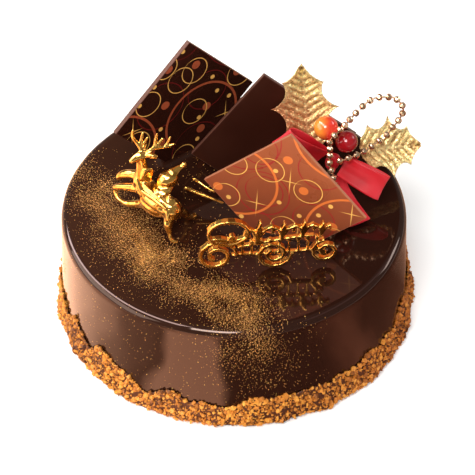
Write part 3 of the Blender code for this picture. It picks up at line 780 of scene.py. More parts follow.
# Printed marks in millimetres from a square's centre: rings as (centre, radius), some with the side
# on which they are drawn, then the centres of dots and stars.
DARK_PRINT = {
    "wine": [((-13.8, -5.0), 12.1), ((4.0, 12.0), 10.1), ((-29.4, 24.4), 9.7), ((-3.2, 49.1), 24.6),
             ((22.0, -12.0), 12.4)],
    "copper": [((12.6, 0.2), 18.4, (-0.75, 0.65)), ((-16.0, -34.7), 21.1, (0.2, 1.0))],
    "gold": [((-11.0, 16.2), 6.5), ((-14.3, 9.3), 6.5), ((-21.1, -7.0), 6.3), ((14.0, 26.1), 6.6),
             ((6.5, 0.9), 6.4), ((-27.1, 10.5), 5.8), ((-10.0, -25.5), 7.2), ((19.7, -18.7), 5.8)],
    "copper_dots": [(-12.7, 18.7), (-11.6, -3.6), (17.3, -4.2), (10.8, 5.6), (-25.1, 10.6),
                    (12.1, 26.0), (2.0, -18.5)],
    "gold_dots": [(1.2, 18.1), (9.6, 14.0), (18.2, 14.9), (-3.9, -13.7), (-24.9, -9.6),
                  (11.5, -0.4), (-25.0, 0.8), (-25.0, 20.5), (20.0, -9.0)],
    "stars": [(-17.6, -21.0), (23.8, 7.3)],
}
MILK_PRINT = {
    "wine": [((-34.9, 5.5), 17.2), ((-7.7, -5.4), 8.3), ((-26.4, 8.0), 8.2), ((-4.0, 24.6), 10.0),
             ((15.5, 3.6), 9.3), ((-7.2, -6.6), 11.7), ((5.0, -22.0), 9.0)],
    "copper": [((-18.6, -12.8), 18.5, (0.75, 0.65)), ((31.2, 12.6), 21.1, (-1.0, 0.2)),
               ((-11.3, 47.2), 24.5, (0.5, -0.9))],
    "gold": [((-15.3, 4.7), 6.3), ((1.8, 12.1), 6.3), ((-14.4, -22.1), 6.1), ((-25.7, -7.4), 5.8),
             ((27.6, 4.8), 6.2), ((12.0, -10.8), 6.1)],
    "copper_dots": [(-15.6, 15.4), (0.6, 10.5), (-19.8, -22.3), (22.0, 9.1), (12.0, -20.0)],
    "gold_dots": [(-13.8, 6.7), (0.2, -3.5), (-12.9, -22.0), (10.2, -0.4), (14.1, 7.6), (12.9, 15.7),
                  (-2.0, -24.0)],
    "stars": [(-6.1, 8.3), (-4.4, -12.8), (20.7, 21.2)],
}


# Lengths in metres that only a side of a square has, and sizes of its print in millimetres.
SIDE_LENGTHS = (0.049, 0.052)
COPPER_LINE = 1.15
COPPER_DOT = 2.15
GOLD_DOT = 1.1
STAR_LONG = 9.0
STAR_SHORT = 6.5


def plate_axes(node):
    """Centre of a square's front face, and its sideways, backward and upward directions."""
    mesh = cad_copy(node)
    corners = [vertex.co for vertex in mesh.vertices]
    centre = sum(corners, Vector()) / len(corners)
    area = {}
    for face in mesh.polygons:
        key = tuple(round(value, 2) for value in face.normal)
        area[key] = area.get(key, 0.0) + face.area
    back = Vector(max(area, key=area.get))
    if back.y < 0:
        back = -back
    exact = [face for face in mesh.polygons if face.normal.dot(back) > 0.99]
    back = max(exact, key=lambda face: face.area).normal.copy()
    edges = [mesh.vertices[edge.vertices[1]].co - mesh.vertices[edge.vertices[0]].co
             for edge in mesh.edges]
    sides = [edge.normalized() for edge in edges if SIDE_LENGTHS[0] < edge.length < SIDE_LENGTHS[1]]
    side = max((edge for edge in sides if abs(edge.dot(back)) < 0.01), key=lambda edge: abs(edge.z))
    rising = [axis if axis.z > 0 else -axis for axis in (side, side.cross(back).normalized())]
    up = max(rising, key=lambda axis: axis.x)
    across = back.cross(up).normalized()
    half = max((corner - centre).dot(back) for corner in corners)
    bpy.data.meshes.remove(mesh)
    return centre - back * half, across, back, up, 2 * half


def plate_mesh(node, settings):
    """A thin square with softly rounded edges and a face that is not quite flat."""
    origin, across, back, up, thickness = plate_axes(node)
    shape = bmesh.new()
    bmesh.ops.create_cube(shape, size=1.0)
    bmesh.ops.scale(shape, vec=(settings.side, thickness, settings.side), verts=shape.verts)
    bmesh.ops.bevel(shape, geom=list(shape.edges), offset=0.22 * MM, segments=3, affect="EDGES",
                    profile=0.5)
    big = [edge for edge in shape.edges if edge.calc_length() > 0.03]
    bmesh.ops.subdivide_edges(shape, edges=big, cuts=23, use_grid_fill=True)
    bmesh.ops.recalc_face_normals(shape, faces=shape.faces)
    mesh = plain_mesh(node, shape)
    plate_place = mesh.attributes.new("plate", "FLOAT_VECTOR", "POINT")
    for index, vertex in enumerate(mesh.vertices):
        x, y, z = vertex.co
        plate_place.data[index].vector = (x / MM, (y + thickness / 2) / MM, z / MM)
        dish = 0.10 * MM * noise.noise(Vector((x, 0.3, z)) * 40.0)
        vertex.co = origin + across * x + back * (y + thickness / 2 + dish) + up * z
    mesh.update()
    return mesh


def print_pattern(tree, colour, place, pattern, settings, wine_line, wine, copper):
    """Lay the printed rings, dots and stars over a chocolate colour."""
    layers = [
        ("wine", "ring", wine, {"Line": wine_line}),
        ("copper", "ring", copper, {"Line": COPPER_LINE, "Share": -0.45}),
        ("copper_dots", "dot", copper, {"Radius": COPPER_DOT}),
        ("gold", "ring", settings.gold, {"Line": settings.ring_line / MM}),
        ("stars", "star", settings.gold, {"Long": STAR_LONG, "Short": STAR_SHORT}),
        ("gold_dots", "dot", settings.gold, {"Radius": GOLD_DOT}),
    ]
    for key, group, ink, sizes in layers:
        for mark in pattern[key]:
            centre, *ring = mark if group == "ring" else (mark,)
            inputs = {"Place": place, "Centre": (centre[0], 0.0, centre[1]), **sizes}
            if ring:
                inputs["Radius"] = ring[0]
            if len(ring) > 1:
                inputs["Towards"] = Vector((ring[1][0], 0.0, ring[1][1])).normalized()
            colour = mix(tree, use_group(tree, group, inputs)[0], colour, ink)
    return colour


def chocolate_material(name, base, edge, settings, pattern=None, wine_line=0.45, roughness=0.3,
                       shade=None):
    """Tempered chocolate: satin face, a paler band along the edges as painted highlight and, where
    given, a print on the front.

    With a shade the face turns towards it at its lower corner, as painted shade, and the print takes its
    light inks.
    """
    material, tree, shader = new_material(name, roughness=roughness, specular=0.42)
    shader.inputs["Specular Tint"].default_value = (1.0, 0.62, 0.48, 1.0)
    cloud = grain(tree, object_place(tree), 45.0, 1400.0, 0.3)
    place = attribute(tree, "plate", "Vector")
    x, depth, z = axes_of(tree, place)
    colour = mix(tree, spread(tree, cloud["Mask"], 0.3, 0.7), base, scaled(base, 1.25))
    wine, copper = settings.wine, settings.copper
    if shade:
        wine, copper = settings.rose, settings.orange
        # Painted shade: the milk face darkens towards its lower corner.
        colour = mix(tree, spread(tree, minus(tree, x, z), -22.0, 46.0), colour, shade)
    if pattern:
        printed = print_pattern(tree, colour, place, pattern, settings, wine_line, wine, copper)
        colour = mix(tree, spread(tree, depth, 0.16, 0.10), colour, printed)
    rims = maths(tree, "MAXIMUM", maths(tree, "ABSOLUTE", x), maths(tree, "ABSOLUTE", z))
    half = settings.side / MM / 2
    # Painted highlight: a paler band along each edge, where the bevel catches the light.
    colour = mix(tree, spread(tree, rims, half - 0.34, half - 0.05), colour, edge)
    feed(tree, shader, Base_Color=colour,
         Roughness=spread(tree, cloud["Mask"], 0.3, 0.75, roughness - 0.05, roughness + 0.08),
         Normal=bump(tree, cloud["Height"], 0.2, 0.1))
    return material


# ---------------------------------------------------------------- leaves

# Spikes along a leaf's side, where the first one stands, and the leaf's divisions.
LEAF_SPIKES = 3.15
FIRST_SPIKE = 0.36
LEAF_ROWS = 132
LEAF_COLUMNS = 48


def holly_half_width(t, widest):
    """Half width at t from 0 at the stalk to 1 at the tip, with spikes between hollows."""
    taper = math.sin(math.pi * (0.11 + 0.86 * t)) ** 0.8
    phase = (t * LEAF_SPIKES - FIRST_SPIKE) % 1.0
    hollow = 1.0 - 0.38 * math.sin(math.pi * phase) ** 0.62
    point = max(0.0, 1.0 - t) ** 0.22
    return max(0.15 * MM, widest * taper * hollow * point)


def solid_from_rows(name, rows, thickness, attributes=None):
    """A thin solid whose middle surface runs through rows of points."""
    surface = mesh_from_rows(name, rows)
    for label, values in (attributes or {}).items():
        float_attribute(surface, label, values)
    sheet = scratch_object(name, surface)
    wall = sheet.modifiers.new("wall", "SOLIDIFY")
    wall.thickness = thickness
    wall.offset = 0.0
    return outward(evaluated_mesh(sheet))


def leaf_mesh(name, stalk, tip, face, widest, settings):
    """A creased holly leaf with a raised midrib, slanting ribs and crinkles."""
    along = tip - stalk
    axis = along.normalized()
    side = axis.cross(face).normalized()
    lift = side.cross(axis).normalized()
    rows = []
    valleys = []
    for row in range(LEAF_ROWS + 1):
        t = row / LEAF_ROWS
        half = holly_half_width(t, widest)
        line = []
        for column in range(LEAF_COLUMNS + 1):
            share = 2.0 * column / LEAF_COLUMNS - 1.0
            out = abs(share)
            forward = 0.13 * widest * out * math.sin(math.pi * t)
            crease = 0.16 * widest * out - 0.05 * widest * math.sin(math.pi * t)
            spot = stalk + along * t + axis * forward + side * (half * share)
            run = t * along.length - 0.55 * half * out
            fade = max(0.0, math.sin(math.pi * min(1.0, 1.15 * out))) if out < 0.87 else 0.0
            ridge = math.sin(math.tau * run / (3.5 * MM) + 0.5 * math.sin(9.0 * t + 2.0 * share))
            ribs = 0.55 * MM * ridge * fade
            midrib = 0.45 * MM * math.exp(-(half * share / (0.6 * MM)) ** 2) * (1.0 - 0.7 * t)
            crinkle = (0.40 * MM * noise.noise(spot / (2.6 * MM))
                       + 0.14 * MM * noise.noise(spot / (0.8 * MM)))
            line.append(spot + lift * (crease + ribs + midrib + crinkle))
            # How deep each point lies in the creases between ribs and beside the midrib, where the
            # leaf's colour is darkened as painted shade.
            beside = math.exp(-((abs(half * share) - 0.9 * MM) / (0.5 * MM)) ** 2)
            valleys.append(max(0.0, min(1.0, 0.5 - 0.75 * ridge * fade + 0.4 * beside)))
        rows.append(line)
    return solid_from_rows(name, rows, settings.leaf_thickness, {"valley": valleys})


def leaf_material(settings, name, lower_colour, reach):
    """Gold glitter over a leaf that is redder towards its lower left, with painted shade in its creases.
    """
    material, tree, shader = new_material(name, roughness=0.34, metallic=0.6)
    place = object_place(tree)
    glitter = use_group(tree, "glitter", {"Place": place, "Scale": 1250.0})
    crinkle = grain(tree, place, 300.0, 1900.0, 0.5)
    gold = ramp(tree, glitter["Bright"], (0.05, scaled(settings.leaf, 0.50, 0.40, 0.32)),
                (0.45, settings.leaf), (0.9, scaled(settings.leaf, 1.22)))
    # Painted shade: the gold darkens in the creases and beside the midrib.
    painted_crease_shade = spread(tree, attribute(tree, "valley"), 0.45, 1.15, 0.0, 0.85)
    gold = mix(tree, painted_crease_shade, gold, scaled(settings.leaf, 0.30, 0.19, 0.12))
    near = vector_maths(tree, "DISTANCE", place, reach[0], output=1)
    colour = mix(tree, spread(tree, near, reach[1], 0.35 * reach[1], 0.0, 0.85), gold, lower_colour)
    height = plus(tree, glitter["Height"], times(tree, crinkle["Height"], 0.5))
    feed(tree, shader, Base_Color=colour,
         Roughness=spread(tree, glitter["Bright"], 0.0, 1.0, 0.48, 0.2),
         Normal=bump(tree, height, 0.9, 0.5))
    return material


# ---------------------------------------------------------------- bow

# A ribbon's divisions, and the angle in degrees by which a loop stays open at the knot.
RIBBON_COLUMNS = 16
LOOP_STEPS = 72
LOOP_OPENING = 14.0


def ribbon_mesh(name, path, across, width, settings, taper=0.0):
    """A ribbon with softly rolled edges whose middle line follows the path."""
    rows = []
    last = len(path) - 1
    for index, point in enumerate(path):
        ahead = path[min(index + 1, last)]
        behind = path[max(index - 1, 0)]
        run = (ahead - behind).normalized()
        wide = (across - run * across.dot(run)).normalized()
        up = run.cross(wide).normalized()
        pinch = 1.0 - taper * math.cos(math.pi * index / last) ** 4
        line = []
        for column in range(RIBBON_COLUMNS + 1):
            share = 2.0 * column / RIBBON_COLUMNS - 1.0
            roll = 0.35 * MM * (share * share - 0.4)
            pleat = taper * 0.9 * MM * math.sin(3.0 * math.pi * share) * (1.0 - pinch + 0.1)
            line.append(point + wide * (share * width * pinch / 2) + up * (roll + pleat))
        rows.append(line)
    return solid_from_rows(name, rows, settings.ribbon_thickness)


def loop_path(root, end, across, puff):
    """Middle line of a bow loop: it leaves the knot, folds over at its end and comes back."""
    along = end - root
    across = (across - along * across.dot(along) / along.length_squared).normalized()
    lift = along.normalized().cross(across)
    path = []
    for step in range(LOOP_STEPS + 1):
        turned = (360.0 - 2 * LOOP_OPENING) * step / LOOP_STEPS
        angle = math.radians(LOOP_OPENING + turned)
        reach = 0.5 - 0.5 * math.cos(angle)
        bulge = math.sin(angle) * (0.35 + 0.65 * reach)
        path.append(root + along * reach + lift * (puff * bulge))
    return path, across


def satin_material(settings):
    """Red satin: fine slanting threads, a faint sheen, and random patches of painted shade and painted
    sheen.
    """
    material, tree, shader = new_material("red_satin", roughness=0.38, specular=0.3)
    shader.inputs["Sheen Weight"].default_value = 0.02
    shader.inputs["Sheen Roughness"].default_value = 0.4
    place = object_place(tree)
    threads = add_node(tree, "ShaderNodeTexWave", {"Vector": place, "Scale": 900.0,
                                                   "Distortion": 0.6, "Detail": 1.0},
                       bands_direction="DIAGONAL")
    # Painted shade and sheen: darker and paler reds in soft random patches.
    light = (min(1.0, 1.12 * settings.ribbon[0]), 0.030, 0.042)
    colour = ramp(tree, noise_texture(tree, place, 90.0, 1.0), (0.3, scaled(settings.ribbon, 0.72)),
                  (0.5, settings.ribbon), (0.72, light))
    feed(tree, shader, Base_Color=colour, Normal=bump(tree, threads.outputs[1], 0.18, 0.1))
    return material


# ---------------------------------------------------------------- berries and beads

def berry_mesh(node):
    """A glossy ball, a little longer than it is wide, with a shallow dimple behind it."""
    low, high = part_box(node)
    centre = (low + high) / 2
    radius = (high.x - low.x) / 2
    shape = bmesh.new()
    bmesh.ops.create_uvsphere(shape, u_segments=64, v_segments=40, radius=radius)
    for vertex in shape.verts:
        turned = Matrix.Rotation(math.radians(-115), 3, "X") @ vertex.co
        back = max(0.0, turned.normalized().dot(Vector((0.0, 0.9, -0.43))))
        dimple = 0.05 * math.exp(-((1.0 - back) / 0.012) ** 2)
        vertex.co = centre + turned * (1.0 - dimple + 0.012 * math.cos(3.0 * turned.z / radius))
    return outward(plain_mesh(node, shape))


def berry_material(name, node, pale, far_side_colour, lean):
    """Glossy berry skin, paler on the side that lean points to."""
    material, tree, shader = new_material(name, roughness=0.16, specular=0.4, coat=0.4)
    place = object_place(tree)
    low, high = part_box(node)
    radius = (high.x - low.x) / 2
    away = vector_maths(tree, "SUBTRACT", place, (low + high) / 2)
    facing = vector_maths(tree, "DOT_PRODUCT", away, Vector(lean).normalized(), output=1)
    drift = noise_texture(tree, place, 320.0, 2.0)
    speck = plus(tree, spread(tree, facing, -0.1 * radius, 0.85 * radius),
                 spread(tree, drift, 0.35, 0.7, -0.10, 0.12), clamp=True)
    feed(tree, shader, Base_Color=mix(tree, speck, far_side_colour, pale), Normal=bump(tree, drift, 0.06, 0.2))
    return material


BEAD_ROUTE = [
    (46.4, 0.0, 9.8), (43.7, 1.5, 14.0), (42.5, 2.5, 19.0), (41.1, 3.0, 25.0), (41.2, 3.0, 31.0),
    (41.0, 2.4, 38.2), (44.0, 3.6, 42.0), (47.6, 9.5, 41.2), (50.7, 14.0, 41.7),
    (53.7, 17.0, 43.1), (57.1, 18.5, 46.1), (60.7, 19.5, 47.8), (65.3, 20.5, 47.4),
    (69.0, 21.0, 46.4), (72.3, 21.0, 42.4), (72.8, 20.5, 38.7), (70.8, 20.0, 33.9),
    (67.9, 19.0, 30.1), (65.2, 17.0, 27.3), (61.4, 15.0, 25.6), (57.9, 12.5, 24.4),
    (54.0, 9.5, 24.3), (49.7, 6.6, 24.6), (45.6, 4.5, 24.8),
]


def bead_tree():
    """Faceted beads evenly spaced on a fine wire that follows the given edges."""
    tree, given = new_geometry_tree("beads_on_wire", {"Pitch": 0.0, "Bead Radius": 0.0,
                                                      "Wire Radius": 0.0})
    curve = add_node(tree, "GeometryNodeMeshToCurve", {"Mesh": given["Geometry"]}).outputs[0]
    spaced = add_node(tree, "GeometryNodeResampleCurve", {"Curve": curve, "Length": given["Pitch"]},
                      mode="LENGTH")
    bead = add_node(tree, "GeometryNodeMeshUVSphere", {"Segments": 10, "Rings": 8,
                                                       "Radius": given["Bead Radius"]})
    flat = add_node(tree, "GeometryNodeSetShadeSmooth", {0: bead.outputs["Mesh"],
                                                         "Shade Smooth": False})
    tangent = add_node(tree, "GeometryNodeInputTangent").outputs[0]
    facing = add_node(tree, "FunctionNodeAlignRotationToVector", {"Vector": tangent}, axis="Z")
    beads = add_node(tree, "GeometryNodeInstanceOnPoints",
                     {"Points": spaced.outputs[0], "Instance": flat.outputs[0],
                      "Rotation": facing.outputs[0], "Scale": (1.0, 1.0, 0.94)})
    profile = add_node(tree, "GeometryNodeCurvePrimitiveCircle",
                       {"Resolution": 8, "Radius": given["Wire Radius"]})
    wire = add_node(tree, "GeometryNodeCurveToMesh",
                    {"Curve": curve, "Profile Curve": profile.outputs[0], "Fill Caps": True})
    both = tree.nodes.new("GeometryNodeJoinGeometry")
    for made in (beads, wire):
        tree.links.new(made.outputs[0], both.inputs[0])
    return close_geometry_tree(tree, given, both.outputs[0])


# ---------------------------------------------------------------- plated gold

def gold_material(name, colour, roughness, spots=160.0, depth=1.0):
    """Plated gold: bright, with darker spots of the given scale and depth, and fine scuffs."""
    material, tree, shader = new_material(name, roughness=roughness, metallic=1.0)
    scuffs = grain(tree, object_place(tree), spots, 2600.0, 0.35)
    deep = [value * (1 - depth * loss) for value, loss in zip(colour, (0.26, 0.34, 0.45))]
    feed(tree, shader,
         Base_Color=ramp(tree, scuffs["Mask"], (0.25, deep), (0.5, colour), (0.8, colour)),
         Roughness=spread(tree, scuffs["Mask"], 0.3, 0.75, roughness, roughness + 0.12),
         Normal=bump(tree, scuffs["Height"], 0.22, 0.15))
    return material


def smoothed_copy(node, grid, steps, rounded=0):
    """A CAD node's shape with its facets melted into soft plated metal."""
    melted = scratch_object(node + "_melted", cad_copy(node))
    if rounded:
        curve = melted.modifiers.new("rounded", "SUBSURF")
        curve.levels = rounded
        curve.render_levels = rounded
    remesh = melted.modifiers.new("grid", "REMESH")
    remesh.mode = "VOXEL"
    remesh.voxel_size = grid
    soften = melted.modifiers.new("soften", "SMOOTH")
    soften.factor = 0.5
    soften.iterations = steps
    return evaluated_mesh(melted)


# ---------------------------------------------------------------- operators

class CAKE_OT_glaze(bpy.types.Operator):
    """Make the glazed body"""
    bl_idname = "cake.glaze"
    bl_label = "Glazed Body"

    def execute(self, context):
        settings = context.scene.cake_glaze
        add_piece(glaze_mesh(settings), "glazed_body", glaze_material(settings),
                  ["cake_body"])
        return {"FINISHED"}


class CAKE_OT_crumbs(bpy.types.Operator):
    """Scatter toasted crumbs over a core round the foot"""
    bl_idname = "cake.crumbs"
    bl_label = "Crumb Foot"

    def execute(self, context):
        settings = context.scene.cake_crumbs
        # The core is mixed most of the way to the darkest crumb: painted shade in the gaps between the
        # loose crumbs.
        core = add_piece(crumb_core_mesh(), "crumb_core", crumb_material(settings, "crumb_core_painted_shade", 0.92),
                         ["crumb_ring"])
        loose = crumb_material(settings, "loose_crumb", 0.0)
        for name, detail, size, density, seed in (
                ("crumbs_coarse", 1, settings.coarse_size, settings.coarse_density, 11),
                ("crumbs_fine", 1, settings.fine_size, settings.fine_density, 23)):
            tree = scatter_tree(name, "scatter", 7, detail, seed)
            mesh = run_nodes(name, core.data.copy(), tree,
                             {"Density": density, "Grain Radius": size, "Lowest": 1.15 * size,
                              "Flatness": 0.8, "Unevenness": 0.6, "Material": loose})
            for vertex in mesh.vertices:
                vertex.co.z = max(vertex.co.z, 0.0)
            add_piece(mesh, name, loose, smooth=False)
        return {"FINISHED"}


class CAKE_OT_dust(bpy.types.Operator):
    """Sift gold powder over the glaze"""
    bl_idname = "cake.dust"
    bl_label = "Gold Dust"

    def execute(self, context):
        settings = context.scene.cake_dust
        material = dust_material(settings)
        tree = scatter_tree("gold_dust", "dust", 4, 0, 5)
        mesh = run_nodes("gold_dust", bpy.data.objects["glazed_body"].data.copy(), tree,
                         {"Density": settings.density, "Grain Radius": settings.grain,
                          "Lowest": 0.0, "Flatness": 0.7, "Material": material})
        add_piece(mesh, "gold_dust", material, smooth=False)
        return {"FINISHED"}


class CAKE_OT_squares(bpy.types.Operator):
    """Make the three chocolate squares"""
    bl_idname = "cake.squares"
    bl_label = "Chocolate Squares"

    def execute(self, context):
        settings = context.scene.cake_plates
        # Paler edge colours: painted highlight along the squares' edges.
        dark_edge_highlight = (0.085, 0.030, 0.020)
        milk_edge_highlight = (0.42, 0.15, 0.075)
        looks = {
            "square_dark_printed": chocolate_material("dark_printed", settings.dark, dark_edge_highlight,
                                                      settings, DARK_PRINT, 0.5, 0.24),
            "square_dark_plain": chocolate_material("dark_plain", settings.dark, dark_edge_highlight, settings,
                                                    roughness=0.3),
            "square_milk_printed": chocolate_material("milk_printed", settings.milk, milk_edge_highlight,
                                                      settings, MILK_PRINT, 0.62, 0.3,
                                                      settings.shade),
        }
        for node, material in looks.items():
            add_piece(plate_mesh(node, settings), "chocolate_" + node, material, [node],
                      smooth=False)
        return {"FINISHED"}


class CAKE_OT_leaves(bpy.types.Operator):
    """Make the two glittering holly leaves"""
    bl_idname = "cake.leaves"
    bl_label = "Holly Leaves"

    def execute(self, context):
        settings = context.scene.cake_trim
        upright = leaf_mesh("holly_upright", top_point(32.5, 15.0, 23.6), top_point(28.9, 27.0, 61.0),
                            Vector((-0.1, -0.93, 0.36)), 16.8 * MM, settings)
        red = leaf_material(settings, "glitter_upright", (0.46, 0.060, 0.020),
                            (top_point(10.0, 14.0, 27.0), 31.0 * MM))
        add_piece(upright, "holly_upright", red, ["leaf_upright"])
        right = leaf_mesh("holly_right", top_point(54.6, 17.0, 20.0), top_point(80.6, 24.5, 15.4),
                          Vector((0.1, -0.62, 0.78)), 15.8 * MM, settings)
        pale = leaf_material(settings, "glitter_right", (0.50, 0.24, 0.08),
                             (top_point(52.0, 12.0, 16.0), 14.0 * MM))
        add_piece(right, "holly_right", pale, ["leaf_right"])
        return {"FINISHED"}


class CAKE_OT_bow(bpy.types.Operator):
    """Make the satin bow"""
    bl_idname = "cake.bow"
    bl_label = "Bow"

    def execute(self, context):
        settings = context.scene.cake_trim
        satin = satin_material(settings)
        root = top_point(42.5, 11.0, 19.0)
        loops = {
            "bow_loop_left": (root + Vector((-4.0, -1.5, 3.6)) * MM, top_point(20.4, 5.0, 38.6),
                              Vector((0.50, -0.10, 0.86)), 3.2 * MM),
            "bow_loop_right": (root + Vector((4.0, -2.6, -0.4)) * MM, top_point(64.5, 0.0, 13.0),
                               Vector((0.42, 0.46, 0.78)), 3.6 * MM),
        }
        for node, (start, end, across, puff) in loops.items():
            path, wide = loop_path(start, end, across, puff)
            mesh = ribbon_mesh("satin_" + node, path, wide, settings.ribbon_width, settings, 0.16)
            add_piece(mesh, "satin_" + node, satin, [node])
        spots = [(43.5, 8.5, 11.0), (45.2, 4.5, 7.4), (48.0, 0.5, 4.2), (51.5, -4.5, 2.2),
                 (54.5, -10.0, 1.6)]
        path = smooth_path([top_point(*spot) for spot in spots], 12)
        tail = ribbon_mesh("satin_bow_tail", path, Vector((1.0, 0.55, 0.05)), 10.0 * MM, settings)
        add_piece(tail, "satin_bow_tail", satin, ["bow_tail"])
        knot = smoothed_copy("bow_knot", 0.35 * MM, 6)
        for vertex in knot.vertices:
            vertex.co.y += 0.16 * MM * math.sin(vertex.co.x / (0.55 * MM))
        add_piece(knot, "satin_bow_knot", satin, ["bow_knot"])
        return {"FINISHED"}


class CAKE_OT_berries(bpy.types.Operator):
    """Make the two glossy berries"""
    bl_idname = "cake.berries"
    bl_label = "Berries"

    def execute(self, context):
        settings = context.scene.cake_trim
        orange = berry_material("orange_skin", "berry_orange", settings.orange_berry,
                                settings.red_side, (-1.0, -0.1, 0.25))
        add_piece(berry_mesh("berry_orange"), "glossy_berry_orange", orange,
                  ["berry_orange"])
        # The red berry turns to a darker copy of its own red away from the lean: painted shade on its
        # side away from the lights.
        red = berry_material("red_skin", "berry_red", settings.red_berry,
                             scaled(settings.red_berry, 0.45), (-0.3, -0.6, 0.6))
        add_piece(berry_mesh("berry_red"), "glossy_berry_red", red, ["berry_red"])
        return {"FINISHED"}


class CAKE_OT_beads(bpy.types.Operator):
    """Thread the faceted beads on their wire"""
    bl_idname = "cake.beads"
    bl_label = "Bead Chain"

    def execute(self, context):
        settings = context.scene.cake_trim
        champagne = gold_material("champagne_plate", (0.86, 0.62, 0.40), 0.16)
        path = smooth_path([top_point(*spot) for spot in BEAD_ROUTE], 8)
        line = bpy.data.meshes.new("bead_route")
        line.from_pydata([tuple(point) for point in path],
                         [(index, index + 1) for index in range(len(path) - 1)], [])
        mesh = run_nodes("bead_route", line, bead_tree(),
                         {"Pitch": settings.bead_pitch, "Bead Radius": settings.bead_diameter / 2,
                          "Wire Radius": 0.36 * MM, "Material": champagne})
        add_piece(mesh, "faceted_beads", champagne, ["bead_chain"], smooth=False)
        return {"FINISHED"}


class CAKE_OT_gold(bpy.types.Operator):
    """Make the plated scrollwork, the reindeer and its runners, and finish the pick's wire"""
    bl_idname = "cake.gold"
    bl_label = "Gold Picks"

    def execute(self, context):
        settings = context.scene.cake_gold
        gold = gold_material("gold_plate", settings.colour, 0.10)
        # The casting's darker spots are twice as deep: painted shade and dark reflection, scattered at
        # random over the cast gold.
        cast = gold_material("cast_gold_painted_shade", settings.colour, 0.08, 420.0, 2.0)
        for node in ("gold_scrollwork", "gold_reindeer", "gold_runner_low", "gold_runner_high"):
            flat = node == "gold_scrollwork"
            steps = settings.crisp_steps if flat else settings.soft_steps
            mesh = smoothed_copy(node, settings.grid, steps, 0 if flat else 2)
            add_piece(mesh, node.replace("gold", "plated"), gold if flat else cast, [node])
        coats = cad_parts["pick_wire"].data.materials
        coats.clear()
        coats.append(gold_material("pick_wire_metal", (0.45, 0.30, 0.12), 0.3))
        return {"FINISHED"}


# The floor's half width in metres, and what the camera aims at, in millimetres from the top's centre.
FLOOR_REACH = 4.0
AIM_RIGHT = 1.52
AIM_LOW = 12.03


def area_light(name, place, target, size, power, colour=(1.0, 1.0, 1.0)):
    """A soft light that looks at the target and isn't seen itself."""
    data = bpy.data.lights.new(name, "AREA")
    data.shape = "RECTANGLE"
    data.size, data.size_y = size
    data.energy = power
    data.color = colour
    light = bpy.data.objects.new(name, data)
    light.location = place
    light.rotation_euler = (Vector(target) - Vector(place)).to_track_quat("-Z", "Y").to_euler()
    light.visible_camera = False
    bpy.context.scene.collection.objects.link(light)
    return light


def cloud_drift(tree, place, scale, detail):
    """A soft random shift, so that the edges in a glow aren't straight."""
    return times(tree, minus(tree, noise_texture(tree, place, scale, detail), 0.5), 0.09)


def floor_glow(tree, place):
    """Round the cake: bright at its left, one lit patch at the front left, dim from there on."""
    turned = add_node(tree, "ShaderNodeMapping", {"Vector": place,
                                                  "Rotation": (0.0, 0.0, math.radians(-90))})
    radial = add_node(tree, "ShaderNodeTexGradient", {"Vector": turned.outputs[0]},
                      gradient_type="RADIAL")
    around = plus(tree, radial.outputs[1], cloud_drift(tree, place, 26.0, 2.0))
    warm = (1.0, 0.55, 0.35)
    red = (1.0, 0.36, 0.20)
    stops = [(0.0, 0.10), (0.10, 0.16), (0.15, 0.75), (0.19, 0.20), (0.25, 0.16), (0.36, 0.8),
             (0.55, 0.7), (0.63, 1.1), (0.70, 3.4), (0.79, 3.4), (0.845, 1.5), (0.90, 0.55), (0.92, 3.6),
             (0.974, 3.4), (0.992, 0.16)]
    return ramp(tree, around,
                *[(spot, [level * value / 4 for value in (red if spot < 0.3 else warm)])
                  for spot, level in stops]), 4.0


def back_glow(tree, place):
    """Behind the cake: brighter at the left than at the right, so the top's mirror falls away."""
    amount = spread(tree, plus(tree, axes_of(tree, place)[0], cloud_drift(tree, place, 9.0, 1.0)),
                    -0.13, 0.07)
    return ramp(tree, amount, (0.0, (0.58, 0.33, 0.23)), (0.55, (0.17, 0.080, 0.055)),
                (1.0, (0.10, 0.050, 0.040))), 1.0


def rim_glow(tree, place):
    """A long softbox, brightest along its middle, for the highlight on the rim at the left."""
    off = maths(tree, "ABSOLUTE", axes_of(tree, place)[0])
    return ramp(tree, spread(tree, off, 0.0, 0.22), (0.0, (1.0, 0.94, 1.0)), (0.5, (0.8, 0.74, 0.8)),
                (1.0, (0.0, 0.0, 0.0))), 15.0


def side_glow(tree, place):
    """A dim violet-grey card for the soft band on the rim at the right."""
    off = maths(tree, "ABSOLUTE", axes_of(tree, place)[0])
    return ramp(tree, spread(tree, off, 0.0, 0.34), (0.0, (1.0, 0.82, 0.86)),
                (1.0, (0.0, 0.0, 0.0))), 0.8


def mirror_card(name, half_width, half_length, place, turn, glow):
    """A glowing studio card that is seen only in mirrors."""
    mesh = bpy.data.meshes.new(name)
    mesh.from_pydata([(x * half_width, y * half_length, 0.0) for x, y in CORNERS],
                     [], [(0, 1, 2, 3)])
    material = bpy.data.materials.new(name)
    material.use_nodes = True
    tree = material.node_tree
    shader = tree.nodes["Principled BSDF"]
    shader.inputs["Base Color"].default_value = (0.0, 0.0, 0.0, 1.0)
    shader.inputs["Specular IOR Level"].default_value = 0.0
    colour, strength = glow(tree, object_place(tree))
    tree.links.new(colour, shader.inputs["Emission Color"])
    shader.inputs["Emission Strength"].default_value = strength
    mesh.materials.append(material)
    card = bpy.data.objects.new(name, mesh)
    card.location = place
    card.rotation_euler = turn
    for kind in ("camera", "diffuse", "shadow", "transmission"):
        setattr(card, "visible_" + kind, False)
    bpy.context.scene.collection.objects.link(card)
    return card


def facing_turn(place, centre, along):
    """Turn that points a card's Z from the centre to its place, with its Y along a direction."""
    facing = (Vector(place) - Vector(centre)).normalized()
    side = Vector(along).cross(facing).normalized()
    return Matrix((side, facing.cross(side), facing)).transposed().to_euler()


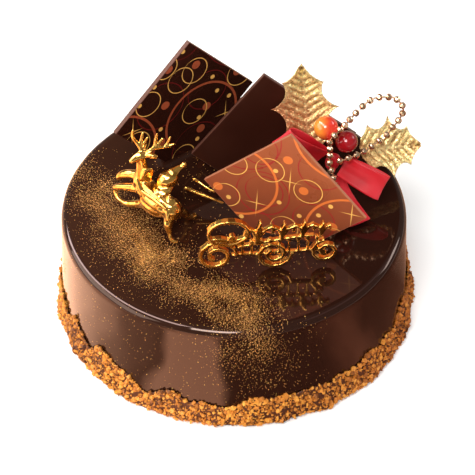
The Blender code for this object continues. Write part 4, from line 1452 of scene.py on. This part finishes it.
class CAKE_OT_stage(bpy.types.Operator):
    """Set up the pale floor, the glowing cards, the studio lights and the camera"""
    bl_idname = "cake.stage"
    bl_label = "Stage"

    def execute(self, context):
        settings = context.scene.cake_stage
        scene = context.scene
        scene.view_settings.view_transform = "Standard"
        floor_mesh = bpy.data.meshes.new("floor")
        floor_mesh.from_pydata([(x * FLOOR_REACH, y * FLOOR_REACH, -0.5 * MM) for x, y in CORNERS],
                               [], [(0, 1, 2, 3)])
        material, _, shader = new_material("pale_floor", roughness=0.9, specular=0.1)
        shader.inputs["Base Color"].default_value = rgba(settings.floor)
        shader.inputs["Emission Color"].default_value = rgba(settings.floor)
        shader.inputs["Emission Strength"].default_value = 0.22
        floor_mesh.materials.append(material)
        floor = bpy.data.objects.new("floor", floor_mesh)
        scene.collection.objects.link(floor)

        world = bpy.data.worlds.new("studio")
        world.use_nodes = True
        studio = world.node_tree
        backdrop = studio.nodes["Background"]
        backdrop.inputs["Color"].default_value = (1.0, 0.97, 0.93, 1.0)
        ray = add_node(studio, "ShaderNodeLightPath").outputs["Is Glossy Ray"]
        studio.links.new(spread(studio, ray, 0.0, 1.0, 0.45, 0.24), backdrop.inputs["Strength"])
        scene.world = world
        centre = (0.0, 0.0, 0.06)
        rim_place = (-0.80, 0.20, 1.05)
        side_place = (0.80, 0.14, 1.10)
        cards = [
            mirror_card("card_floor", 0.6, 0.6, (0.0, 0.0, -0.2 * MM), ORIGIN, floor_glow),
            mirror_card("card_back", 0.45, 0.45, (0.0, 0.85, 0.88), (math.radians(-45), 0.0, 0.0),
                        back_glow),
            mirror_card("card_rim", 0.22, 0.85, rim_place,
                        facing_turn(rim_place, centre, (-0.35, 0.70, -0.42)), rim_glow),
            mirror_card("card_side", 0.34, 0.60, side_place,
                        facing_turn(side_place, centre, (0.30, 0.80, -0.30)), side_glow),
        ]
        area_light("softbox_left", (-1.15, -0.15, 0.55), centre, (1.5, 0.8), 14.0, (1.0, 0.96, 0.90))
        area_light("softbox_front", (-0.25, -0.95, 1.45), centre, (0.6, 0.6), 21.0)
        area_light("softbox_right", (1.1, 0.5, 0.8), centre, (0.5, 0.5), 5.0)

        camera_data = bpy.data.cameras.new("camera")
        camera_data.lens = settings.lens
        camera_data.sensor_width = 36.0
        camera = bpy.data.objects.new("camera", camera_data)
        scene.collection.objects.link(camera)
        camera.rotation_euler = (math.pi / 2 - settings.elevation, 0.0, 0.0)
        back = Vector((0.0, -math.cos(settings.elevation), math.sin(settings.elevation)))
        up = Vector((0.0, math.sin(settings.elevation), math.cos(settings.elevation)))
        aim = Vector((AIM_RIGHT * MM, 0.0, TOP)) - up * (AIM_LOW * MM)
        camera.location = aim + back * settings.distance
        scene.camera = camera
        return {"FINISHED"}


OPERATORS = [CAKE_OT_glaze, CAKE_OT_crumbs, CAKE_OT_dust, CAKE_OT_squares, CAKE_OT_leaves,
             CAKE_OT_bow, CAKE_OT_berries, CAKE_OT_beads, CAKE_OT_gold, CAKE_OT_stage]


class CAKE_PT_panel(bpy.types.Panel):
    """Lists the pieces of the cake"""
    bl_label = "Cake"
    bl_idname = "CAKE_PT_panel"
    bl_space_type = "VIEW_3D"
    bl_region_type = "UI"
    bl_category = "Cake"

    def draw(self, context):
        for operator in OPERATORS:
            self.layout.operator(operator.bl_idname)


def register():
    """Register the settings, the operators and the panel."""
    for settings in SETTINGS.values():
        bpy.utils.register_class(settings)
    for name, settings in SETTINGS.items():
        setattr(bpy.types.Scene, name, PointerProperty(type=settings))
    for operator in OPERATORS:
        bpy.utils.register_class(operator)
    bpy.utils.register_class(CAKE_PT_panel)


def unregister():
    """Undo register."""
    bpy.utils.unregister_class(CAKE_PT_panel)
    for operator in reversed(OPERATORS):
        bpy.utils.unregister_class(operator)
    for name in SETTINGS:
        delattr(bpy.types.Scene, name)
    for settings in reversed(list(SETTINGS.values())):
        bpy.utils.unregister_class(settings)


def main():
    """Make every piece in order."""
    register()
    bpy.ops.cake.glaze()
    bpy.ops.cake.crumbs()
    bpy.ops.cake.dust()
    bpy.ops.cake.squares()
    bpy.ops.cake.leaves()
    bpy.ops.cake.bow()
    bpy.ops.cake.berries()
    bpy.ops.cake.beads()
    bpy.ops.cake.gold()
    bpy.ops.cake.stage()


if __name__ == "__main__":
    main()
